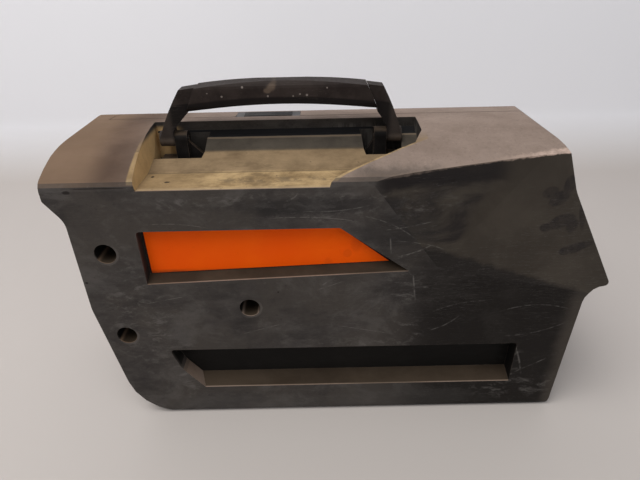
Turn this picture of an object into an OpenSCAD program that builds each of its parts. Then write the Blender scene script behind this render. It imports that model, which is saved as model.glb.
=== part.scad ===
/* [Body] */
// Overall length, rear lip to front lip
body_len = 510; // [490:1:640]
// Overall width, side to side
body_w = 200; // [190:1:260]
// Height of the crest of the crowned top above the floor
crest_h = 298; // [290:1:370]
// Radius of the crowned top
crown_r = 230; // [190:1:400]
// Radius of the shoulder between the sides and the top
shoulder_r = 10; // [4:1:16]
// Radius of the edge between the sides and the bottom
bottom_r = 6; // [2:0.5:9]
// Wall thickness of the moulded shells
wall = 3.2; // [2.4:0.1:3.6]
// Gap between the door and the shells round it
door_gap = 0.8; // [0.5:0.1:1.5]
// Width of the frame that is left round the door at the rear and below
door_margin = 12; // [12:0.5:18]
// Where the fixed shell ends and the far frame starts, across the width
split_y = 13; // [12:0.5:16]

/* [Ends] */
// Overhang of the rear lip past the rear wall
rear_lip = 14; // [10:0.5:20]
// Height of the rear neck below the crest
rear_neck_drop = 62; // [50:1:80]
// Radius of the lower rear corner
rear_corner_r = 57; // [40:1:60]
// Overhang of the front lip past the front wall
front_lip = 21.5; // [18:0.5:26]
// Height of the underside of the front lip
front_lip_z = 159; // [150:1:170]
// Setback of the top edge of the control slope from the front lip
slope_setback = 45; // [40:1:55]
// Height of the top edge of the control slope below the crest
slope_drop = 47; // [35:1:60]

/* [Handle] */
// Distance of the handle pivot behind the middle plane
pivot_y = -15; // [-20:0.5:-14]
// Depth of the handle pivot below the crest
pivot_drop = 12; // [11:0.5:14]
// Length between the outer faces of the two arm barrels
handle_len = 232; // [200:1:240]
// Middle of the handle from the rear lip
handle_mid = 200; // [195:1:210]
// Height of the top of the arch above the pivot
handle_rise = 54; // [48:1:60]
// Height of the grip bar
grip_h = 20; // [16:1:22]
// Thickness of the grip front to back
grip_t = 24; // [18:1:26]
// Width of an arm barrel along the pivot
barrel_w = 14; // [10:0.5:16]
// Radius of the arm barrels and bracket lugs
barrel_r = 7.5; // [6:0.5:8]
// Radius of the handle pivot pins
handle_pin_r = 3; // [2:0.5:4]

/* [Recesses] */
// Length of the handle recess along the crest
recess_len = 257; // [250:1:262]
// Depth of the handle recess below the crest
recess_drop = 30; // [28:1:34]
// Depth of the label recess
label_depth = 12; // [6:0.5:14]
// Depth of the long lower recess
low_depth = 17; // [8:0.5:18]
// Radius of the case screw wells
well_r = 10; // [8:0.5:11]
// Depth of the case screw wells
well_depth = 36; // [24:1:40]

/* [Spool] */
// Spool centre from the rear lip
spool_x_off = 131; // [128:1:135]
// Height of the spool centre above the floor
spool_z = 140; // [130:1:160]
// Radius of the hub that the spool slips on
hub_r = 25; // [24:0.5:26]
// Width of a spool
spool_w = 55; // [45:1:56]
// Radius of the fixed hub axle
axle_r = 8; // [6:0.5:9]
// Travel of the two locking claws
claw_travel = 7; // [5:0.5:7]

/* [Wire drive] */
// Height of the wire line above the floor
wire_z = 85; // [82:1:95]
// Distance of the wire line from the chassis plate
wire_off = 32; // [31:0.5:34]
// Middle of the wire drive from the front lip
drive_off = 140; // [138:1:145]
// Distance between the two feed rolls
roll_pitch = 60; // [59:0.5:61]
// Radius of the feed and pressure rolls
roll_r = 16; // [15:0.5:16.5]
// Gap between a feed roll and its pressure roll
roll_gap = 0.6; // [0.4:0.1:1.2]
// Gear module
gear_m = 2;
// Teeth of each drive gear
gear_teeth = 19;
// Teeth of the motor pinion
pinion_teeth = 12;
// Radius of the motor
motor_r = 30; // [26:1:32]
// Length of the motor
motor_len = 50; // [40:1:56]
// Tilt of the released tension lever
lever_tilt = 50; // [45:1:55]

/* [Controls] */
// Width of the control panel
panel_w = 130; // [120:1:140]
// Height of the control panel along the slope
panel_h = 80; // [76:1:84]
// Radius of the control knobs
knob_r = 12; // [9:0.5:13]
// Height of the control knobs
knob_h = 9; // [7:0.5:10]
// Distance of each knob from the middle of the panel
knob_y = 38; // [36:1:42]
// Radius of the push buttons
button_r = 4.5; // [3.5:0.5:5]
// Distance between push buttons
button_pitch = 14; // [12:0.5:15]
// Travel of the push buttons
button_travel = 1; // [0.5:0.1:1.5]

/* [Fits] */
// Radial clearance of running bores
run_fit = 0.05; // [0.02:0.01:0.1]
// Gap between faces that move past each other
face_gap = 0.3; // [0.2:0.05:0.5]
// Radial gap of pieces that are seated in a hole and stay there
seat_fit = 0.05; // [0.02:0.01:0.1]
// Sheet thickness of the chassis plate
plate_t = 3; // [2:0.5:4]

/* [Hidden] */
$fn = 48;
eps = 0.01;
far = 2000; // longer than anything here, for cutters

x_r = -body_len / 2;
x_f = body_len / 2;
half_w = body_w / 2;
rear_wall_x = x_r + rear_lip;
front_wall_x = x_f - front_lip;
neck_z = crest_h - rear_neck_drop;
slope_top = [x_f - slope_setback, crest_h - slope_drop];
slope_foot = [x_f - 0.4, front_lip_z + 5.1];
slope_mid = (slope_top + slope_foot) / 2;
slope_a = atan2(slope_foot.x - slope_top.x, slope_top.y - slope_foot.y);
plate_y = split_y - 8;
plate_face = plate_y + plate_t;

// ---- Outlines -------------------------------------------------------------

function unit(v) = v / norm(v);
function arc(c, r, a0, a1, n) =
    [for (i = [0:n]) let (a = a0 + (a1 - a0) * i / n) c + r * [cos(a), sin(a)]];

// A closed outline drawn anticlockwise, as corners of [x, y, radius]. Each edge moves inwards by d,
// and then each corner is rounded, so that rounded walls keep an even thickness
function corner(a, b, c, r, n) =
    let (u = unit(a - b), v = unit(c - b), half = acos(u * v) / 2, bend = u.x * v.y - u.y * v.x,
        m = b + unit(u + v) * r / sin(half), s = b + u * r / tan(half) - m, a0 = atan2(s.y, s.x),
        turn = (180 - 2 * half) * (bend < 0 ? 1 : -1))
    r < 0.2 ? [b] : [for (i = [0:n]) m + r * [cos(a0 + turn * i / n), sin(a0 + turn * i / n)]];
function moved(p, d) = [for (i = [0:len(p) - 1])
    let (n = len(p), e = [for (k = [-1:1]) [p[(i + n + k) % n].x, p[(i + n + k) % n].y]],
        u = unit(e[1] - e[0]), v = unit(e[2] - e[1]), a = [-u.y, u.x], b = [-v.y, v.x])
    e[1] + (a + b) * d / (1 + a * b)];
function outline(p, d = 0, n = 5) = let (q = moved(p, d), k = len(p)) [for (i = [0:k - 1])
    let (a = q[(i + k - 1) % k], b = q[i], c = q[(i + 1) % k], u = b - a, v = c - b,
        r = p[i].z == 0 ? 0 : u.x * v.y - u.y * v.x > 0 ? p[i].z - d : p[i].z + d)
    each corner(a, b, c, r, n)];

// Side view of the body, in X and Z
top_z = crest_h + 40; // the crowned cross-section cuts the top
side_path = [
    [x_f - 26, 0, 10],
    [x_f - front_lip + 0.7, front_lip_z, 18],
    [x_f + 2.2, front_lip_z, 3.5],
    [x_f - slope_setback, crest_h - slope_drop, 40],
    [x_f - 56.5, crest_h - 8, 12],
    [x_f - 56.5 - (top_z - crest_h + 8) * 1.73, top_z, 0],
    [x_r + (top_z - crest_h + 6) * 1.73, top_z, 0],
    [x_r, crest_h - 6, 10],
    [x_r, crest_h - 38, 4],
    [rear_wall_x, neck_z + 4, 20],
    [rear_wall_x, neck_z - 91, 60],
    [x_r + 36, 0, rear_corner_r]];

// Cross-section of the body, in Y and Z
cross_path = concat(
    [[-half_w, 0, bottom_r], [half_w, 0, bottom_r],
        [half_w, crown_top(half_w), shoulder_r]],
    [for (i = [5:-1:-5]) let (y = half_w * 0.82 * i / 5) [y, crown_top(y), 0]],
    [[-half_w, crown_top(half_w), shoulder_r]]);
function crown_top(y) = crest_h - crown_r + sqrt(pow(crown_r, 2) - pow(y, 2));

// An X-Z outline made solid from y0 to y1
module along_y(y0, y1) translate([0, y1, 0]) rotate([90, 0, 0]) linear_extrude(y1 - y0) children();
// A Y-Z outline made solid from x0 to x1
module along_x(x0, x1) translate([x0, 0, 0]) rotate([90, 0, 90]) linear_extrude(x1 - x0) children();
module rod_y(x, z, y0, y1, r) translate([x, y1, z]) rotate([90, 0, 0]) cylinder(r = r, h = y1 - y0);
module rod_x(y, z, x0, x1, r) translate([x0, y, z]) rotate([0, 90, 0]) cylinder(r = r, h = x1 - x0);
module box(a, b) translate(a) cube(b - a);
module ring_y(x, z, y0, y1, r, bore) difference() {
    rod_y(x, z, y0, y1, r);
    rod_y(x, z, y0 - 1, y1 + 1, bore);
}
module ring_x(y, z, x0, x1, r, bore) difference() {
    rod_x(y, z, x0, x1, r);
    rod_x(y, z, x0 - 1, x1 + 1, bore);
}

// Everything on the outer side of a plane through three points, moved inwards by d
module beyond(p, d) {
    n = unit(cross(p[1] - p[0], p[2] - p[0]));
    translate(p[0] - n * d) rotate([0, acos(n.z), atan2(n.y, n.x)])
        translate([-far / 2, -far / 2, 0]) cube(far);
}

// The leaning facet of the front end: a long panel and the scoop that starts it
facet_main = [[x_f - 106, -half_w, 172], [x_f - 27, -half_w, 154],
    [x_f - 55, 25 - half_w, crest_h - 8]];
facet_scoop = [[x_f - 227, -half_w, crest_h - 30], [x_f - 174, -half_w, crest_h - 102],
    [x_f - 141, 14 - half_w, crest_h - 12]];

module facet(d) intersection() {
    beyond(facet_main, d);
    beyond(facet_scoop, d);
}

// The whole body, moved inwards by d
module body_form(d) difference() {
    intersection() {
        along_y(-half_w - 1, half_w + 1) polygon(outline(side_path, d));
        along_x(x_r - 1, x_f + 1) polygon(outline(cross_path, d, 3));
    }
    facet(d);
    mirror([0, 1, 0]) facet(d);
}

// ---- Recesses of the near side and top ------------------------------------

handle_x = x_r + handle_mid;
recess_x0 = x_r + 75;
recess_x1 = recess_x0 + recess_len;
floor_z = crest_h - recess_drop;
rim_y = -1; // face of the upright wall at the back of the handle recess

// Handle recess, grown by g into the material round it
module handle_recess(g) intersection() {
    along_x(recess_x0 - 20, recess_x1 + 20) polygon([[-half_w - 9, floor_z - g],
        [40 - half_w, floor_z - g], [-25, floor_z + 7 - g], [-12, floor_z + 17 - g],
        [rim_y - 4 + g, floor_z + 17 - g], [rim_y + g, crest_h - 9], [rim_y + g, crest_h + 9],
        [-half_w - 9, crest_h + 9]]);
    along_y(-half_w - 9, 20) polygon([[recess_x0 + 7 - g, floor_z - 9],
        [recess_x1 + g, floor_z - 9], [recess_x1 + g, crest_h + 9], [recess_x0 - 1 - g, crest_h + 9]]);
    translate([0, 0, floor_z - 9]) linear_extrude(60) polygon([[recess_x0 - 20, -half_w - 9],
        [x_r + 232 + g, -half_w - 9], [x_r + 245 + g, -half_w], [x_r + 280 + g, 19 - half_w],
        [x_r + 308 + g, 35 - half_w], [x_r + 323 + g, 44 - half_w],
        [recess_x1 + g, 65 - half_w], [recess_x1 + g, 20], [recess_x0 - 20, 20]]);
}

// Pockets for the bracket feet, rear and front
pocket_z = floor_z - 6;
pocket_back = rim_y - 1.5;
bail_x0 = handle_x - handle_len / 2;
bail_x1 = handle_x + handle_len / 2;
pockets = [[bail_x0 - 8, bail_x0 + 45], [bail_x1 - 39, bail_x1 + 3]];

module bracket_pockets(g) for (p = pockets)
    translate([0, 0, pocket_z - g]) linear_extrude(60) polygon([[p[0] - g, pocket_back + g],
        [p[0] + 4 - g, pivot_y - 21 - g], [p[1] - 4 + g, pivot_y - 21 - g], [p[1] + g, pocket_back + g]]);

// Label recess: its ledge climbs towards the front, and the label's lower edge follows it up to
// the slanted front edge
label_x = x_r + 73;
label_top = 229;
label_tip = x_f - 256.5;
label_foot = [x_f - 187, 178];
ledge_z = 175;
ledge_climb = 0.0373;
ledge_dip = 5; // drop of the ledge from the label out to the side's face
label_lean = (label_top - label_foot.y) / (label_foot.x - label_tip);
label_low = ledge_z - 1.7;
label_low_x = (label_foot.y + label_foot.x * label_lean - label_low + ledge_climb * x_r) / (ledge_climb + label_lean);
label_path = [[label_x, label_low + ledge_climb * (label_x - x_r), 3],
    [label_low_x, label_low + ledge_climb * (label_low_x - x_r), 3], [label_tip, label_top, 3], [label_x, label_top, 3]];
label_cut = [[label_x, 160, 3], [label_foot.x, 160, 3], [label_foot.x, label_foot.y, 3],
    [label_tip, label_top, 3], [label_x, label_top, 3]];
label_ledge = [[x_r, -half_w, ledge_z - ledge_dip], [x_r, label_depth - half_w, ledge_z],
    [x_f, -half_w, ledge_z - ledge_dip + ledge_climb * body_len]];
low_cut = [[x_r + 116, 30, 3], [x_f - 75, 30, 3], [x_f - 75, 91, 3], [x_r + 80, 91, 3], [x_r + 88, 66, 40]];
low_ledge = [[x_r, -half_w, 38], [x_r, low_depth - half_w, 45], [x_f, -half_w, 38]];

module label_recess(g) difference() {
    along_y(-half_w - 9, label_depth - half_w + g) polygon(outline(label_cut, -g, 2));
    beyond(label_ledge, -g);
}

module low_recess(g) difference() {
    along_y(-half_w - 9, low_depth - half_w + g) polygon(outline(low_cut, -g, 3));
    beyond(low_ledge, -g);
}

wells = [[x_r + 41.5, crest_h - 91], [x_r + 41, 112], [x_r + 166.5, 143]];
well_floor_y = well_depth - half_w;

module screw_wells(g) for (w = wells)
    rod_y(w.x, w.y, -half_w - 9, well_floor_y + (g > 0 ? wall + 0.8 : 0), well_r + g);

module recesses(g) {
    handle_recess(g);
    bracket_pockets(g);
    label_recess(g);
    low_recess(g);
    screw_wells(g);
}

// ---- Openings shared by both shells ---------------------------------------

// Frame of the control slope: X outwards, Y across, Z up the slope
module on_slope() translate([slope_mid.x, 0, slope_mid.y]) rotate([0, -slope_a, 0]) children();

panel_t = 2;
panel_fit = 0.4;
panel_ledge = 5;
gun_y = plate_face + wire_off;
plate_hole = [[-76, 22], [76, 126]];  // lower front opening, Y and Z
rear_hole = [[-76, neck_z - 80], [76, neck_z - 12]];

module end_openings() {
    on_slope() {
        box([-panel_t, -panel_w / 2 - panel_fit, -panel_h / 2 - panel_fit],
            [20, panel_w / 2 + panel_fit, panel_h / 2 + panel_fit]);
        box([-30, panel_ledge - panel_w / 2, panel_ledge - panel_h / 2],
            [20, panel_w / 2 - panel_ledge, panel_h / 2 - panel_ledge]);
    }
    box([front_wall_x - 20, plate_hole[0].x, plate_hole[0].y], [x_f, plate_hole[1].x, plate_hole[1].y]);
    box([x_r - 5, rear_hole[0].x, rear_hole[0].y], [rear_wall_x + 20, rear_hole[1].x, rear_hole[1].y]);
}

// ---- Shells ----------------------------------------------------------------

lip_t = 2;
lip_y = split_y + 6;
keeper_w = 28;

// Strip fixed under the fixed shell's upper edge, which the door closes on, open at the catch
module rim_strip() color([0.20, 0.19, 0.18]) {
    intersection() {
        difference() {
            body_form(wall + face_gap);
            body_form(wall + face_gap + lip_t);
            box([catch_x - catch_w / 2 - 1, split_y, floor_z], [catch_x + catch_w / 2 + 1, lip_y + 1, crest_h]);
            box([catch_x - keeper_w / 2 - face_gap, split_y - 7, floor_z],
                [catch_x + keeper_w / 2 + face_gap, split_y + 1, crest_h]);
        }
        box([door_x0 + 8, split_y - 6, floor_z], [door_x1 - 12, lip_y, crest_h]);
    }
    // keeper that the catch's nose hooks under
    box([catch_x - keeper_w / 2, split_y - 6, catch_top - 11.2],
        [catch_x + keeper_w / 2, split_y - 1, crest_h - wall - 1.5]);
}

module side_shell() color([0.27, 0.25, 0.24]) difference() {
    body_form(0);
    recesses(0);
    difference() {
        body_form(wall);
        recesses(wall);
    }
    box([-far / 2, split_y, -9], [far / 2, half_w + 9, crest_h + 9]);
    end_openings();
    for (w = wells) rod_y(w.x, w.y, -half_w, 0, case_screw_r + 0.25);
    for (s = bracket_screw_xy) translate([s.x, s.y, pocket_z - 20]) cylinder(r = 1.6, h = 30);
}

door_x0 = rear_wall_x + door_margin;
door_x1 = x_f - 59;
door_path = [[door_x1, door_margin, 6], [door_x1, crest_h + 20, 0], [door_x0, crest_h + 20, 0],
    [door_x0, neck_z - 91, 60], [x_r + 36 + door_margin, door_margin, rear_corner_r - door_margin]];

swing_gap = 1.2;

// Hinge line of the door, along the lower far edge
hinge_y = half_w - 5;
hinge_z = 5.5;
knuckle_r = 4.5;
hinge_pin_r = 2;
knuckle_w = 18;
hinges_x = [x_r + 110, 0, x_f - 90];

module knuckle(x0, x1) rod_x(hinge_y, hinge_z, x0, x1, knuckle_r);

module end_frame() color([0.25, 0.23, 0.22]) {
    difference() {
        union() {
            difference() {
                body_form(0);
                body_form(wall);
                along_y(split_y - 1, half_w + 1) polygon(outline(door_path, -door_gap));
                // the door's lower edge drops as it starts to swing
                along_y(half_w - wall - 2, half_w + 1) translate([0, -swing_gap]) polygon(outline(door_path, -door_gap));
                box([x_r + 60, half_w - 11, -1], [x_f - 50, half_w + 1, door_margin]);
            }
            for (x = hinges_x) {
                knuckle(x - knuckle_w - face_gap, x - face_gap);
                box([x - knuckle_w - face_gap, half_w - 12, 1], [x - face_gap, hinge_y, 4]);
            }
        }
        box([-far / 2, -half_w - 9, -9], [far / 2, split_y, crest_h + 9]);
        end_openings();
        for (x = hinges_x) rod_x(hinge_y, hinge_z, x - knuckle_w - 2, x + 2, hinge_pin_r + run_fit);
    }
}

rib_h = 4;
rib_t = 2;
rib_x = [door_x0 + 40, door_x0 + 120, door_x0 + 200, door_x0 + 280, door_x1 - 50];
rib_z = [door_margin + 28, crest_h - 78];
catch_x = x_r + 185.5; // middle of the door catch
catch_w = 65;
catch_travel = 5;
catch_top = crest_h - 1.5;

module side_door() color([0.26, 0.24, 0.23]) difference() {
    union() {
        intersection() {
            difference() {
                body_form(0);
                body_form(wall);
            }
            along_y(split_y + door_gap, half_w + 1) polygon(outline(door_path));
        }
        // stiffening ribs on the inner face
        intersection() {
            difference() {
                body_form(wall - eps);
                body_form(wall + rib_h);
            }
            union() {
                for (x = rib_x) box([x - rib_t / 2, half_w - 20, rib_z[0] - 8], [x + rib_t / 2, half_w, rib_z[1] + 8]);
                for (z = rib_z) box([rib_x[0] - 8, half_w - 20, z - rib_t / 2],
                    [rib_x[len(rib_x) - 1] + 8, half_w, z + rib_t / 2]);
            }
        }
        for (x = hinges_x) {
            knuckle(x, x + knuckle_w);
            box([x, half_w - wall, hinge_z], [x + knuckle_w, half_w - 0.5, door_margin + 3]);
        }
        // seat of the catch, hung under the door's upper edge
        difference() {
            intersection() {
                body_form(wall - eps);
                box([catch_x - catch_w / 2 - 4, split_y + 8, crest_h - 24],
                    [catch_x + catch_w / 2 + 4, split_y + 38, crest_h]);
            }
            box([catch_x - catch_w / 2 + 6, split_y + 7, crest_h - 25],
                [catch_x + catch_w / 2 - 6, split_y + 34, crest_h]);
        }
    }
    box([catch_x - catch_w / 2 - face_gap, split_y, catch_top - 5 - face_gap],
        [catch_x + catch_w / 2 + face_gap, split_y + 26, crest_h + 5]);
    box([catch_x - catch_w / 2 + 10, split_y + 20, catch_top - 16],
        [catch_x + catch_w / 2 - 10, split_y + 26 + catch_travel + face_gap, catch_top - 5 + face_gap]);
    for (x = hinges_x) rod_x(hinge_y, hinge_z, x - 1, x + knuckle_w + 1, hinge_pin_r + run_fit);
}

// Catch: a thumb plate in the door's upper edge with a tongue that reaches under the rim
module door_catch() color([0.12, 0.11, 0.10]) {
    box([catch_x - catch_w / 2, split_y + 1.5, catch_top - 5],
        [catch_x + catch_w / 2, split_y + 26 - catch_travel - face_gap, catch_top]);
    for (i = [0:4]) box([catch_x - catch_w / 2 + 8, split_y + 5 + 3 * i, catch_top - eps],
        [catch_x + catch_w / 2 - 8, split_y + 6.2 + 3 * i, catch_top + 0.8]);
    box([catch_x - catch_w / 2 + 11, split_y + 20.5, catch_top - 14],
        [catch_x + catch_w / 2 - 11, split_y + 26, catch_top - 5 + eps]);
    box([catch_x - 12, split_y - 4, catch_top - 14], [catch_x + 12, split_y + 21, catch_top - 11.5]);
}

catch_spring_r = 2.2;
module catch_spring() color("silver") for (s = [-1, 1])
    rod_y(catch_x + s * 15, catch_top - 10, split_y + 26 + face_gap, split_y + 33.5, catch_spring_r);

module hinge_pin() color("silver")
    rod_x(hinge_y, hinge_z, hinges_x[0] - knuckle_w - 1, hinges_x[2] + knuckle_w + 1, hinge_pin_r);

// ---- Handle ----------------------------------------------------------------

pivot_z = crest_h - pivot_drop;
arch_half = handle_len / 2 - 22; // half the width of the arch at its corners
arch_sag = 7;
arch_mid = handle_x + 3;
seam_in = [15, 5]; // where the grip starts, in from the arch corners, above and below
lug_w = 12;
function arch_z(x) = pivot_z + handle_rise - arch_sag * pow((x - arch_mid) / arch_half, 2);

// Outline of one arm, from its barrel to the slanted seam of the grip; s is the side
module arm_outline(s) {
    c = arch_mid + s * arch_half;
    e = s > 0 ? bail_x1 : bail_x0;
    inner = e - s * barrel_w;
    top = [for (i = [0:3]) let (x = c - s * seam_in[0] * i / 3) [x, arch_z(x)]];
    z1 = pivot_z + barrel_r + 1;
    low = [for (i = [1:4]) let (t = i / 4, x0 = c - s * 9, z0 = arch_z(c) - grip_h + 2)
        [x0 + (inner - x0) * t + s * 3 * t * (1 - t), z0 + (z1 - z0) * t]];
    rise = [for (i = [0:4]) let (t = i / 5)
        [e + (c - e) * t + s * 7 * t * (1 - t), pivot_z + (arch_z(c) - pivot_z) * t]];
    under = [c - s * seam_in[1], arch_z(c - s * seam_in[1]) - grip_h];
    polygon(concat(rise, top, [under], low, [[inner, pivot_z]]));
}

module handle_bail() color([0.16, 0.14, 0.13]) difference() {
    union() {
        for (s = [-1, 1]) {
            along_y(pivot_y - barrel_r, pivot_y + barrel_r) arm_outline(s);
            rod_x(pivot_y, pivot_z, s > 0 ? bail_x1 - barrel_w : bail_x0,
                s > 0 ? bail_x1 : bail_x0 + barrel_w, barrel_r);
        }
        along_y(pivot_y - 4, pivot_y + 4) polygon(core_path(0));
    }
    for (s = [-1, 1]) rod_x(pivot_y, pivot_z, s > 0 ? bail_x1 - barrel_w - 1 : bail_x0 - 1,
        s > 0 ? bail_x1 + 1 : bail_x0 + barrel_w + 1, handle_pin_r + run_fit);
}

// Bar inside the grip that joins the two arms
function core_path(d) = concat(
    [for (i = [-4:4]) let (x = arch_mid + (arch_half - 8) * i / 4) [x, arch_z(x) - 14 - d]],
    [for (i = [4:-1:-4]) let (x = arch_mid + (arch_half - 8) * i / 4) [x, arch_z(x) - 6 + d]]);

module handle_grip() color([0.17, 0.15, 0.14]) difference() {
    intersection() {
        along_y(pivot_y - grip_t / 2, pivot_y + grip_t / 2) polygon(concat(
            [for (i = [-6:6]) let (x = arch_mid + (arch_half - seam_in[1] - 0.2) * i / 6)
                [x, arch_z(x) - grip_h]],
            [for (i = [6:-1:-6]) let (x = arch_mid + (arch_half - seam_in[0] - 0.2) * i / 6)
                [x, arch_z(x)]]));
        along_x(bail_x0, bail_x1) polygon(concat(
            arc([pivot_y + grip_t / 2 - 6, pivot_z + handle_rise - grip_h - arch_sag + 6], 6, -90, 0, 4),
            arc([pivot_y + grip_t / 2 - 6, pivot_z + handle_rise - 6], 6, 0, 90, 4),
            arc([pivot_y - grip_t / 2 + 6, pivot_z + handle_rise - 6], 6, 90, 180, 4),
            arc([pivot_y - grip_t / 2 + 6, pivot_z + handle_rise - grip_h - arch_sag + 6], 6, 180, 270, 4)));
    }
    along_y(pivot_y - 4, pivot_y + 4) polygon(core_path(0));
}

lug_x = [bail_x0 + barrel_w + face_gap, bail_x1 - barrel_w - face_gap - lug_w]; // start of each lug

module handle_pins() color("silver") {
    rod_x(pivot_y, pivot_z, bail_x0 + 1, lug_x[0] + lug_w - 0.5, handle_pin_r);
    rod_x(pivot_y, pivot_z, lug_x[1] + 0.5, bail_x1 - 1, handle_pin_r);
}

foot_t = 4;
foot_y = [pivot_y - 19, rim_y - 2.5];
feet = [[pockets[0][0] + 5, pockets[0][1] - 5], [pockets[1][0] + 5, pockets[1][1] - 5]];
bracket_screw_xy = [for (f = feet) for (x = [f[0] + 4.5, f[1] - 4.5]) [x, foot_y[0] + 5]];

// Foot, upright lug and sloping rib; s points from the lug towards the middle of the handle
module bracket(i, s) difference() {
    union() {
        box([feet[i][0], foot_y[0], pocket_z], [feet[i][1], foot_y[1], pocket_z + foot_t]);
        rod_x(pivot_y, pivot_z, lug_x[i], lug_x[i] + lug_w, barrel_r);
        box([lug_x[i], pivot_y - barrel_r, pocket_z], [lug_x[i] + lug_w, pivot_y + barrel_r, pivot_z]);
        along_y(pivot_y - 2, pivot_y + 2) polygon(s > 0
            ? [[lug_x[i] + lug_w - 1, pocket_z + 2], [feet[i][1], pocket_z + 2],
                [feet[i][1], pocket_z + foot_t + 3], [lug_x[i] + lug_w - 1, pivot_z - 2]]
            : [[lug_x[i] + 1, pocket_z + 2], [lug_x[i] + 1, pivot_z - 2],
                [feet[i][0], pocket_z + foot_t + 3], [feet[i][0], pocket_z + 2]]);
    }
    rod_x(pivot_y, pivot_z, lug_x[i] - 1, lug_x[i] + lug_w + 1, handle_pin_r + seat_fit);
    for (p = bracket_screw_xy) translate([p.x, p.y, pocket_z - 1]) cylinder(r = 2.2, h = foot_t + 2);
}

module handle_brackets() color([0.10, 0.09, 0.09]) {
    bracket(0, 1);
    bracket(1, -1);
}

module bracket_screws() for (p = bracket_screw_xy) {
    translate([p.x, p.y, pocket_z + foot_t]) cylinder(r = 3.5, h = 2);
    translate([p.x, p.y, pocket_z - wall - 4]) cylinder(r = 1.6, h = foot_t + wall + 4 + eps);
}

// ---- Label and case screws -------------------------------------------------

label_t = 1;
module label_plate() color([0.84, 0.32, 0.06])
    along_y(label_depth - half_w - label_t, label_depth - half_w) polygon(outline(label_path, 2.5));

case_screw_r = 2.5;
pillar_r = 6;
pillar_y = well_floor_y + wall + 0.8;

// Screws of the three wells and of the handle brackets
module case_screws() color("silver") {
    for (w = wells) difference() {
        union() {
            rod_y(w.x, w.y, well_floor_y - 5, well_floor_y, 4.5);
            rod_y(w.x, w.y, well_floor_y - eps, pillar_y + 14, case_screw_r);
        }
        rod_y(w.x, w.y, well_floor_y - 6, well_floor_y - 2, 2.5);
    }
    bracket_screws();
}

// ---- Chassis ----------------------------------------------------------------

plate_path = [[x_f - 62, 6], [x_f - 62, crest_h - 26], [x_r + 34, crest_h - 26], [x_r + 22, crest_h - 60],
    [x_r + 22, neck_z - 100], [x_r + 36, 52], [x_r + 70, 6]];
spool_x = x_r + spool_x_off;
drive_x = x_f - drive_off;

roll_x = [drive_x - roll_pitch / 2, drive_x + roll_pitch / 2];
roll_z = wire_z - roll_r;
press_z = wire_z + roll_gap + roll_r;
gear_r = gear_m * gear_teeth / 2;
pinion_r = gear_m * pinion_teeth / 2;
pinion_z = roll_z - sqrt(pow(gear_r + pinion_r, 2) - pow(roll_pitch / 2, 2));

module chassis_plate() color([0.45, 0.46, 0.47]) difference() {
    union() {
        along_y(plate_y, plate_face) polygon(plate_path);
        // foot flange on the floor of the fixed shell
        box([x_r + 90, plate_y - 32, wall + 0.2], [x_f - 70, plate_y + eps, wall + 0.2 + plate_t]);
        box([x_r + 90, plate_y, wall + 0.2], [x_f - 70, plate_face, 8]);
        for (w = wells) rod_y(w.x, w.y, pillar_y, plate_y + eps, pillar_r);
    }
    for (w = wells) rod_y(w.x, w.y, pillar_y - 1, pillar_y + 15, case_screw_r);
    rod_y(drive_x, pinion_z, plate_y - 1, plate_face + 1, 13 + seat_fit);
    rod_y(spool_x, spool_z, plate_y - 1, plate_face + 1, axle_r + seat_fit);
    for (x = [x_r + 60, x_r + 190]) rod_y(x, crest_h - 44, plate_y - 1, plate_face + 1, 7);
    rod_y(hose_x[0], rear_cz, plate_y - 1, plate_face + 1, hose_r + 0.5);
}

// ---- Control panel -----------------------------------------------------------

knob_v = -8;
window_v = 22;
window_w = 44;
window_h = 17;
button_v = -8;
shaft_r = 3;
board_x = -14; // front face of the control board, behind the panel face

module control_panel() color([0.09, 0.09, 0.10]) on_slope() difference() {
    box([-panel_t, -panel_w / 2, -panel_h / 2], [0, panel_w / 2, panel_h / 2]);
    for (s = [-1, 1]) {
        rod_x(s * knob_y, knob_v, -panel_t - 1, 1, shaft_r + 0.3);
        box([-0.8, s * 32 - window_w / 2, window_v - window_h / 2], [1, s * 32 + window_w / 2, window_v + window_h / 2]);
    }
    for (s = [-1, 0, 1]) rod_x(s * button_pitch, button_v, -panel_t - 1, 1, button_r + run_fit);
}

module display_windows() color([0.35, 0.04, 0.04]) on_slope() for (s = [-1, 1])
    box([-0.8, s * 32 - window_w / 2 + 0.2, window_v - window_h / 2 + 0.2],
        [-0.1, s * 32 + window_w / 2 - 0.2, window_v + window_h / 2 - 0.2]);

// Knob with its shaft down to the encoder, a pointer groove and grip flutes
module knob(s) on_slope() difference() {
    union() {
        rod_x(s * knob_y, knob_v, face_gap, knob_h, knob_r);
        rod_x(s * knob_y, knob_v, -10, face_gap + eps, shaft_r);
    }
    for (a = [0:30:330]) rod_x(s * knob_y + (knob_r + 0.9) * cos(a), knob_v + (knob_r + 0.9) * sin(a),
        2.5, knob_h + 1, 2);
    box([knob_h - 0.8, s * knob_y - 0.7, knob_v + 3], [knob_h + 1, s * knob_y + 0.7, knob_v + knob_r + 1]);
}

module knob_speed() color([0.12, 0.12, 0.12]) knob(-1);
module knob_voltage() color([0.12, 0.12, 0.12]) knob(1);

module button(i) color([0.55, 0.55, 0.55]) on_slope() {
    rod_x(i * button_pitch, button_v, -panel_t - 1, button_travel + 1, button_r);
    rod_x(i * button_pitch, button_v, -panel_t - 2.2, -panel_t - 0.15, button_r + 1.2);
}
module button_left() button(-1);
module button_middle() button(0);
module button_right() button(1);

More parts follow.
